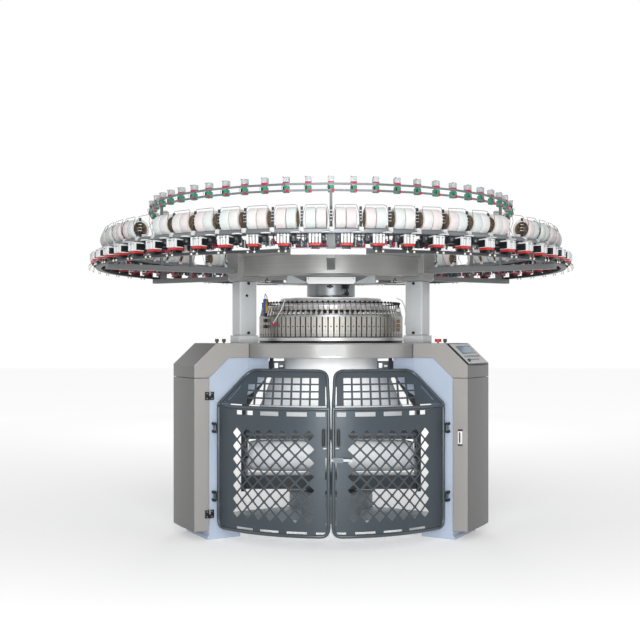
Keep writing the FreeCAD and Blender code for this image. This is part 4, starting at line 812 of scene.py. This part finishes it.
# Fabric ------------
# White cotton and elastane single jersey that leaves the cylinder as a tube, is spread flat by
# the draw rollers and wound on the roll. Very fine stitches, so only soft folds and tension
# lines show. The roll is many turns, with a slightly uneven face and rounded ends.

# Height, half width, half depth and middle, from the cylinder down to the draw rollers.
STATIONS = [(1.275, 0.362, 0.362, 0.0), (1.120, 0.330, 0.330, 0.0), (1.000, 0.333, 0.326, 0.0),
            (0.780, 0.422, 0.215, -0.012), (0.640, 0.489, 0.070, -0.026), (0.564, 0.513, 0.003, -0.031)]


def loop_at(height):
    """Half width, half depth and middle of the fabric tube at a height."""
    for upper, lower in zip(STATIONS, STATIONS[1:]):
        if height >= lower[0]:
            t = (upper[0] - height) / (upper[0] - lower[0])
            return [a + (b - a) * t for a, b in zip(upper[1:], lower[1:])]
    return STATIONS[-1][1:]


TUBE_TOP, TUBE_FOOT = STATIONS[0][0], STATIONS[-1][0]
FOLD_TOP, FOLD_DEPTH = 1.15, 0.0035
tube = bmesh.new()
steps = 72
heights = [TUBE_TOP - (TUBE_TOP - TUBE_FOOT) * k / 40 for k in range(41)]
draw = random.Random(7)
folds = [(draw.uniform(5, 17), draw.uniform(0, 6.28), draw.uniform(0.4, 1.0)) for k in range(6)]
rings = []
for height in heights:
    wide, deep, middle = loop_at(height)
    down = min(1, max(0, (FOLD_TOP - height) / (FOLD_TOP - TUBE_FOOT)))
    slack = math.sin(math.pi * down) * FOLD_DEPTH
    ring = []
    for k in range(steps):
        a = 2 * math.pi * k / steps
        wave = slack * sum(size * math.sin(round(count) * a + phase + height * 3)
                           for count, phase, size in folds)
        x = (wide + wave * 0.3) * math.cos(a)
        y = middle + (deep + wave * (0.2 + deep)) * math.sin(a)
        ring.append(tube.verts.new((x, y, height)))
    rings.append(ring)
for one, two in zip(rings, rings[1:]):
    join_rings(tube, one, two)
jersey = grained("white_cotton_elastane_jersey", "#E3E5E6", "#ECEDED", 30, 0.0, 0.85, stretch=(1, 1, 4),
                 bump=0.4, **{"Sheen Weight": 0.15})
tube_piece = install("fabric_tube", tube, "cylinder", [jersey], crease=80)
cloth = tube_piece.modifiers.new("cloth_thickness", "SOLIDIFY")
cloth.thickness = 0.0015
cloth.offset = 0

roll_low, roll_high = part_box("fabric_roll")
roll = bmesh.new()
half = roll_high.x
roll_r = roll_high.y
profile = [(0.024, -half + 0.004), (0.060, -half + 0.001), (0.084, -half)]
for k in range(31):
    x = -half + 0.003 + (2 * half - 0.006) * k / 30
    ease = 0.012 * (abs(x) / half) ** 14
    profile.append((roll_r - 0.0005 - ease - draw.uniform(0, 0.0008), x))
profile += [(0.084, half), (0.060, half - 0.001), (0.024, half - 0.004)]
turned_at(roll, moved(0, 0, (roll_low.z + roll_high.z) / 2) @ TO_X, profile, 0, 64)
install("wound_fabric", roll, "cloth_roll", [jersey], ["fabric_roll"], 50)


# Cabinet trims ------------
# Black cover plates on both leaves of the door hinges, each held by two bright screws, and the
# white grip of the right door between two black ends.
coat(screw_black, "hinge_leaves")
HINGE_Y = 0.169
flat_screw = [(0, 0.0005), (0.0020, 0.0005), (0.0022, 0.0018), (0.0036, 0.0014), (0.0038, 0), (0, 0)]
for leg, degrees in LEG_DEGREES.items():
    for kind, body, near, far in (("door_", "door_" + leg, 0.897, 0.923), ("frame_", "root", 0.868, 0.894)):
        plates = bmesh.new()
        for height in (0.148, 0.820):
            leaf = round_place(degrees, height=height)
            box_at(plates, leaf, (near, HINGE_Y - 0.0002, -0.023), (far, HINGE_Y + 0.0010, 0.023), 0, 0.0004)
            for lift in (-0.014, 0.014):
                screw = leaf @ moved((near + far) / 2, HINGE_Y + 0.001, lift) @ TO_Y
                turned_at(plates, screw, flat_screw, 1, 12)
        install("hinge_plate_" + kind + leg, plates, body, [screw_black, bright_steel])

handle = bmesh.new()
right_frame = round_place(LEG_DEGREES["right"])
for block in (((0.9315, -0.1785, 0.549), (0.9565, -0.1660, 0.623), 0, 0.003),
              ((0.9320, -0.1780, 0.540), (0.9560, -0.1662, 0.549), 1, 0.002),
              ((0.9320, -0.1780, 0.623), (0.9560, -0.1662, 0.632), 1, 0.002),
              ((0.940, -0.1792, 0.556), (0.948, -0.1780, 0.616), 1, 0.0005)):
    box_at(handle, right_frame, *block)
install("door_grip", handle, "door_handle", [white_enamel, screw_black], ["door_handle"])


# Controls ------------
# Sloping control panel on the right cabinet: a black frame round a pale membrane face, with a
# blue-grey screen, two rows of soft keys and a small knob. Push buttons stand beside the columns.
panel_place = round_place(LEG_DEGREES["right"], 0.8584, 1.1132) @ Matrix.Rotation(math.radians(42.5), 4, "Y")
panel = bmesh.new()
for block in (((0.0, -0.155, 0.0), (0.1739, 0.155, 0.0075), 0, 0.002),
              ((0.006, -0.149, 0.0074), (0.168, 0.149, 0.0082), 1, 0.0003),
              ((0.026, -0.096, 0.0080), (0.088, 0.108, 0.0086), 0, 0.0003),
              ((0.032, -0.088, 0.0084), (0.082, 0.100, 0.0090), 2)):
    box_at(panel, panel_place, *block)
for near, far, first, tones in ((0.104, 0.118, -0.110, [3] * 7), (0.132, 0.144, -0.060, [3, 3, 3, 4])):
    for k, tone in enumerate(tones):
        y = first + 0.034 * k
        box_at(panel, panel_place, (near, y, 0.0080), (far, y + 0.022, 0.0090), tone, 0.0004)
knob = [(0, 0), (0.011, 0), (0.011, 0.003), (0.008, 0.010), (0.007, 0.012), (0, 0.012)]
turned_at(panel, panel_place @ moved(0.146, -0.110, 0.008), knob, 0, 20)
black_gloss = grained("black_gloss_plastic", "#101113", "#1A1B1E", 20, 0.0, 0.28, edge=1)
pale_membrane = grained("pale_grey_membrane", "#C3C6C8", "#D2D5D6", 40, 0.0, 0.45)
screen_glass = grained("blue_grey_screen_glass", "#6F8FA6", "#86A5BA", 60, 0.0, 0.12)
grey_keys = grained("grey_soft_keys", "#6E7478", "#7E8488", 10, 0.0, 0.5)
install("control_face", panel, "root",
        [black_gloss, pale_membrane, screen_glass, grey_keys, crimson_plastic], ["control_panel"])
coat(black_gloss, "button_start", "button_jog", "button_stop")
signal_red = grained("signal_red_plastic", "#B81F1F", "#CC2A28", 10, 0.0, 0.35)
coat(signal_red, "emergency_stop")


# Yarn spools ------------
# Elastic yarn wound on brown cardboard cores, two spools side by side on all but four positions
# of the creel. The yarn is dull white, with a faint tint that differs from one to the next.
CREEL_POSITIONS = 60
EMPTY_POSITIONS = (7, 22, 37, 52)
spool_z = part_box("yarn_packages")[1].z - 0.057
spool_r, spool_half, core_r, creel_r = 0.0565, 0.026, 0.041, 1.36
flank = [(core_r - 0.003, 0), (core_r, 0), (core_r, 0.0015), (spool_r - 0.008, 0.001),
         (spool_r - 0.002, 0.003), (spool_r, 0.008)]
wind = [(r, z - spool_half) for r, z in flank] + [(r, spool_half - z) for r, z in flank[::-1]]
wind.append(wind[0])
spool_units = []
for tint in range(3):
    spools = bmesh.new()
    for side in (-1, 1):
        place = moved(0, side * spool_half, 0) @ TO_Y
        yarn_tone = (0, 2, 3)[(tint + (side > 0)) % 3]
        turned_at(spools, place, wind, [1, 1] + [yarn_tone] * 7 + [1, 1, 1], 28)
        for k in range(6):
            rib = place @ Matrix.Rotation(math.radians(60 * k + 30), 4, "Z")
            box_at(spools, rib, (0.012, -0.0012, -0.018), (core_r - 0.002, 0.0012, 0.018), 1)
        turned_at(spools, place, square_ring(0.009, 0.013, -0.018, 0.018), 1, 14)
    spool_units.append(as_part(spools))
yarn_look = {"Sheen Weight": 0.12}
white_yarn = grained("white_elastane_yarn", "#E0DFDD", "#EAE9E7", 4, 0.0, 0.8, bump=0.25, **yarn_look)
rose_yarn = grained("faint_rose_elastane_yarn", "#E2D9D9", "#EBE2E2", 4, 0.0, 0.8, bump=0.25, **yarn_look)
mint_yarn = grained("faint_mint_elastane_yarn", "#D9E1DF", "#E2E9E7", 4, 0.0, 0.8, bump=0.25, **yarn_look)
brown_card = grained("brown_core_cardboard", "#8A745E", "#A38C74", 12, 0.0, 0.85, bump=0.1)
all_places = places_round(CREEL_POSITIONS, creel_r, spool_z, 0.5)
spool_places = [place for i, place in enumerate(all_places) if i not in EMPTY_POSITIONS]
install("yarn_spools", repeated(spool_units, spool_places), "root",
        [white_yarn, brown_card, rose_yarn, mint_yarn], ["yarn_packages"])


# Creel rails ------------
# Aluminium rail under the spools. Each position has two grey rollers, a white block with a dark
# upright, a wire loop over the top and small guides, levers and clips below, in four variants.
rail_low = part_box("package_rail")[0]
roller = [(0, -0.056), (0.0055, -0.055), (0.007, -0.053), (0.007, 0.053), (0.0055, 0.055), (0, 0.056)]
cup = [(0, 0), (0.008, 0), (0.0085, 0.006), (0.005, 0.010), (0, 0.011)]
cradle_units = []
for variant in range(4):
    cradle = bmesh.new()
    for off in (-0.028, 0.028):
        turned_at(cradle, moved(off, 0, 1.6785) @ TO_Y, roller, 0, 12)
    for block in (((-0.038, -0.083, rail_low.z + 0.008), (0.038, -0.059, 1.690), 1, 0.003),
                  ((-0.024, -0.080, 1.690), (0.004, -0.062, 1.706), 1, 0.003),
                  ((0.008, -0.077, 1.690), (0.016, -0.065, 1.792), 2, 0.001),
                  ((-0.006, -0.050, 1.622), (0.034, 0.046, 1.657), 2, 0.004),
                  ((-0.040, -0.0725, 1.614), (-0.034, 0.0725, 1.630), 2),
                  ((-0.038, -0.063, 1.614), (-0.034, -0.057, rail_low.z + 0.004), 2),
                  ((-0.038, 0.057, 1.614), (-0.034, 0.063, rail_low.z + 0.004), 2)):
        box_at(cradle, CENTRE, *block)
    for height in (1.722, 1.738, 1.754, 1.770):
        box_at(cradle, CENTRE, (0.006, -0.079, height), (0.018, -0.063, height + 0.004), 1, 0.001)
    for off in (-0.036, -0.012, 0.012, 0.036):
        turned_at(cradle, moved(0.036, off, 1.640) @ TO_X, cup, 0, 12)
    wheel = [(0, 0), (0.022, 0.001), (0.026, 0.004), (0.026, 0.008), (0.012, 0.012), (0, 0.012)]
    turned_at(cradle, moved(0.060, 0.052, 1.655), wheel, (2, 1, 1, 2, 2), 16)
    loop = [(0.030, -0.071, 1.690), (0.046, -0.060, 1.760), (0.030, -0.050, 1.797), (0.026, 0.040, 1.800),
            (0.030, 0.052, 1.796), (0.046, 0.062, 1.760), (0.030, 0.070, 1.690)]
    guide = [(-0.020, 0.030, 1.625), (0.010, 0.030, 1.612), (0.050, 0.044, 1.606), (0.072, 0.060, 1.590)]
    lever = [(-0.030, -0.030, 1.662), (-0.060, -0.030, 1.700), (-0.110, -0.020, 1.790)]
    for points, radius in ((loop, 0.0012), (guide, 0.0014), (lever, 0.0012)):
        rod_at(cradle, CENTRE, points, radius, 2, 5)
    for k in range(16):
        y, size = draw.uniform(-0.066, 0.066), draw.uniform(0.003, 0.008)
        low, high = draw.uniform(1.596, 1.616), draw.uniform(1.628, 1.652)
        tone = draw.choice((0, 1, 2, 2, 3, 4))
        near, far = (-0.034 - size, y - size / 2, low), (-0.030 + size, y + size, high)
        box_at(cradle, CENTRE, near, far, tone, 0.001)
    cradle_units.append(as_part(cradle))
rails = repeated(cradle_units, places_round(CREEL_POSITIONS, creel_r, 0, 0.5))
for inner, outer, thick in ((1.322, 1.330, 0.018), (1.390, 1.398, 0.018), (1.322, 1.398, 0.004)):
    turned_at(rails, CENTRE, square_ring(inner, outer, rail_low.z, rail_low.z + thick), 3, 120)
roller_grey = grained("grey_turned_rollers", "#6B6E70", "#82868A", 6, 0.6, 0.35)
white_moulding = grained("white_moulded_nylon", "#DBDCDD", "#E6E7E7", 12, 0.0, 0.4)
dark_anodised = grained("dark_anodised_aluminium", "#34383B", "#484D51", 10, 0.7, 0.4)
rail_aluminium = grained("satin_anodised_aluminium", "#6C7073", "#868A8D", 2, 0.85, 0.34,
                         stretch=(100, 100, 1))
install("creel_cradles", rails, "root",
        [roller_grey, white_moulding, dark_anodised, rail_aluminium, crimson_plastic], ["package_rail"])
coat(dark_anodised, "feeder_rail")

# A white strip over the front arc of the feeder rail only: a painted highlight across the front.
rail_highlight_band = bmesh.new()
cover = [(1.4402, 1.552), (1.4432, 1.552), (1.4436, 1.565), (1.4432, 1.5775), (1.4402, 1.5775),
         (1.4402, 1.552)]
turned_at(rail_highlight_band, CENTRE, cover, 0, 12, 262.3, 276.7)
install("front_rail_painted_highlight", rail_highlight_band, "root", [white_enamel])


# Yarn feeders ------------
# Feeder housings clamped on the lower rail, one under each creel position: white moulded body
# with four ribs over a black core, a red foot, and ceramic eyes on bright wires below.
feeder_low, feeder_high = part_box("yarn_feeders")
FEEDER_R = 1.410
tall = feeder_high.z - feeder_low.z
feeder = bmesh.new()
for block in (((0, -0.030, 0.028), (0.056, 0.030, tall - 0.004), 2, 0.004),
              ((0.004, -0.027, 0.014), (0.060, 0.027, 0.027), 1, 0.004),
              ((0, -0.020, 0), (0.048, 0.020, 0.015), 2, 0.003),
              ((0.0635, -0.022, tall - 0.012), (0.065, 0.022, tall - 0.007), 3, 0.0004)):
    box_at(feeder, CENTRE, *block)
for k in range(4):
    y = -0.0235 + 0.0157 * k
    box_at(feeder, CENTRE, (0.002, y - 0.0062, 0.026), (0.066 - 0.004 * (k % 2), y + 0.0062, tall), 0, 0.005)
eye_ring = [(0.0015, -0.002), (0.0048, -0.0025), (0.0055, 0), (0.0048, 0.0025), (0.0015, 0.002)]
for side in (-1, 1):
    y = side * 0.017
    wire = [(0.048, side * 0.016, 0.016), (0.070, y, 0.006), (0.074, y, -0.010)]
    rod_at(feeder, CENTRE, wire, 0.0013, 3, 5)
    turned_at(feeder, moved(0.074, y, -0.014) @ TO_X, eye_ring, 4, 10)
feeders = repeated([as_part(feeder)], places_round(CREEL_POSITIONS, FEEDER_R, feeder_low.z, 0.5))
feeder_red = grained("red_moulded_nylon", "#B32A2A", "#C63A36", 12, 0.0, 0.4)
ceramic = grained("cream_glazed_ceramic", "#EFE6D2", "#F7F0E0", 12, 0.0, 0.15, ior=1.6)
install("feeder_units", feeders, "root",
        [white_moulding, feeder_red, screw_black, bright_steel, ceramic], ["yarn_feeders"])


# Stop motions ------------
# Yarn break detectors hung on the two upper bars: green moulded body, milky cap over a crimson
# lamp strip, a round button and a feeler hook. The bars are as grey as the creel's rollers.
STOP_UNITS = 30
EXTRA_UNITS = (210, 222, 234, 246, 258, 270, 282, 294, 306, 318, 330)
BAR_R = 1.12
stop_low, stop_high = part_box("stop_motions")
tall = stop_high.z - stop_low.z
stop = bmesh.new()
for block in (((-0.020, -0.0165, 0.003), (0.0085, 0.0165, 0.038), 0, 0.004),
              ((-0.014, -0.0120, 0.034), (0.0045, 0.0120, tall - 0.038), 3, 0.002),
              ((-0.022, -0.0160, tall - 0.041), (0.0075, 0.0160, tall - 0.030), 1, 0.002),
              ((-0.026, -0.0165, tall - 0.031), (0.0085, 0.0165, tall - 0.001), 2, 0.006),
              ((0.0080, -0.0150, 0.016), (0.0105, -0.0060, 0.034), 4, 0.001)):
    box_at(stop, CENTRE, *block)
push_button = [(0, 0), (0.0090, 0), (0.0084, 0.004), (0, 0.005)]
turned_at(stop, moved(0.0085, 0.0095, 0.011) @ TO_X, push_button, 1, 12)
hook = [(-0.008, -0.012, tall - 0.012), (0.004, -0.014, tall - 0.002), (0.0115, -0.0145, tall - 0.006)]
rod_at(stop, CENTRE, hook, 0.0015, 4, 5)
feeler = [(0.0065, -0.012, 0.034), (0.016, -0.016, 0.040), (0.018, -0.019, 0.028), (0.014, -0.0195, 0.020)]
rod_at(stop, CENTRE, feeler, 0.0013, 3, 5)
stop_places = places_round(STOP_UNITS, BAR_R, stop_low.z)
stop_places += [round_place(degrees, BAR_R, stop_low.z) for degrees in EXTRA_UNITS]
stops = repeated([as_part(stop)], stop_places)
green_moulding = grained("green_moulded_nylon", "#1F8E6A", "#2FA07C", 14, 0.0, 0.38)
milky_cap = grained("milky_translucent_cap", "#C6CCCE", "#DADEDF", 20, 0.0, 0.2, ior=1.49,
                    **{"Transmission Weight": 0.25})
install("yarn_stop_motions", stops, "root",
        [green_moulding, crimson_plastic, milky_cap, bright_steel, screw_black], ["stop_motions"])
coat(roller_grey, "top_rings")
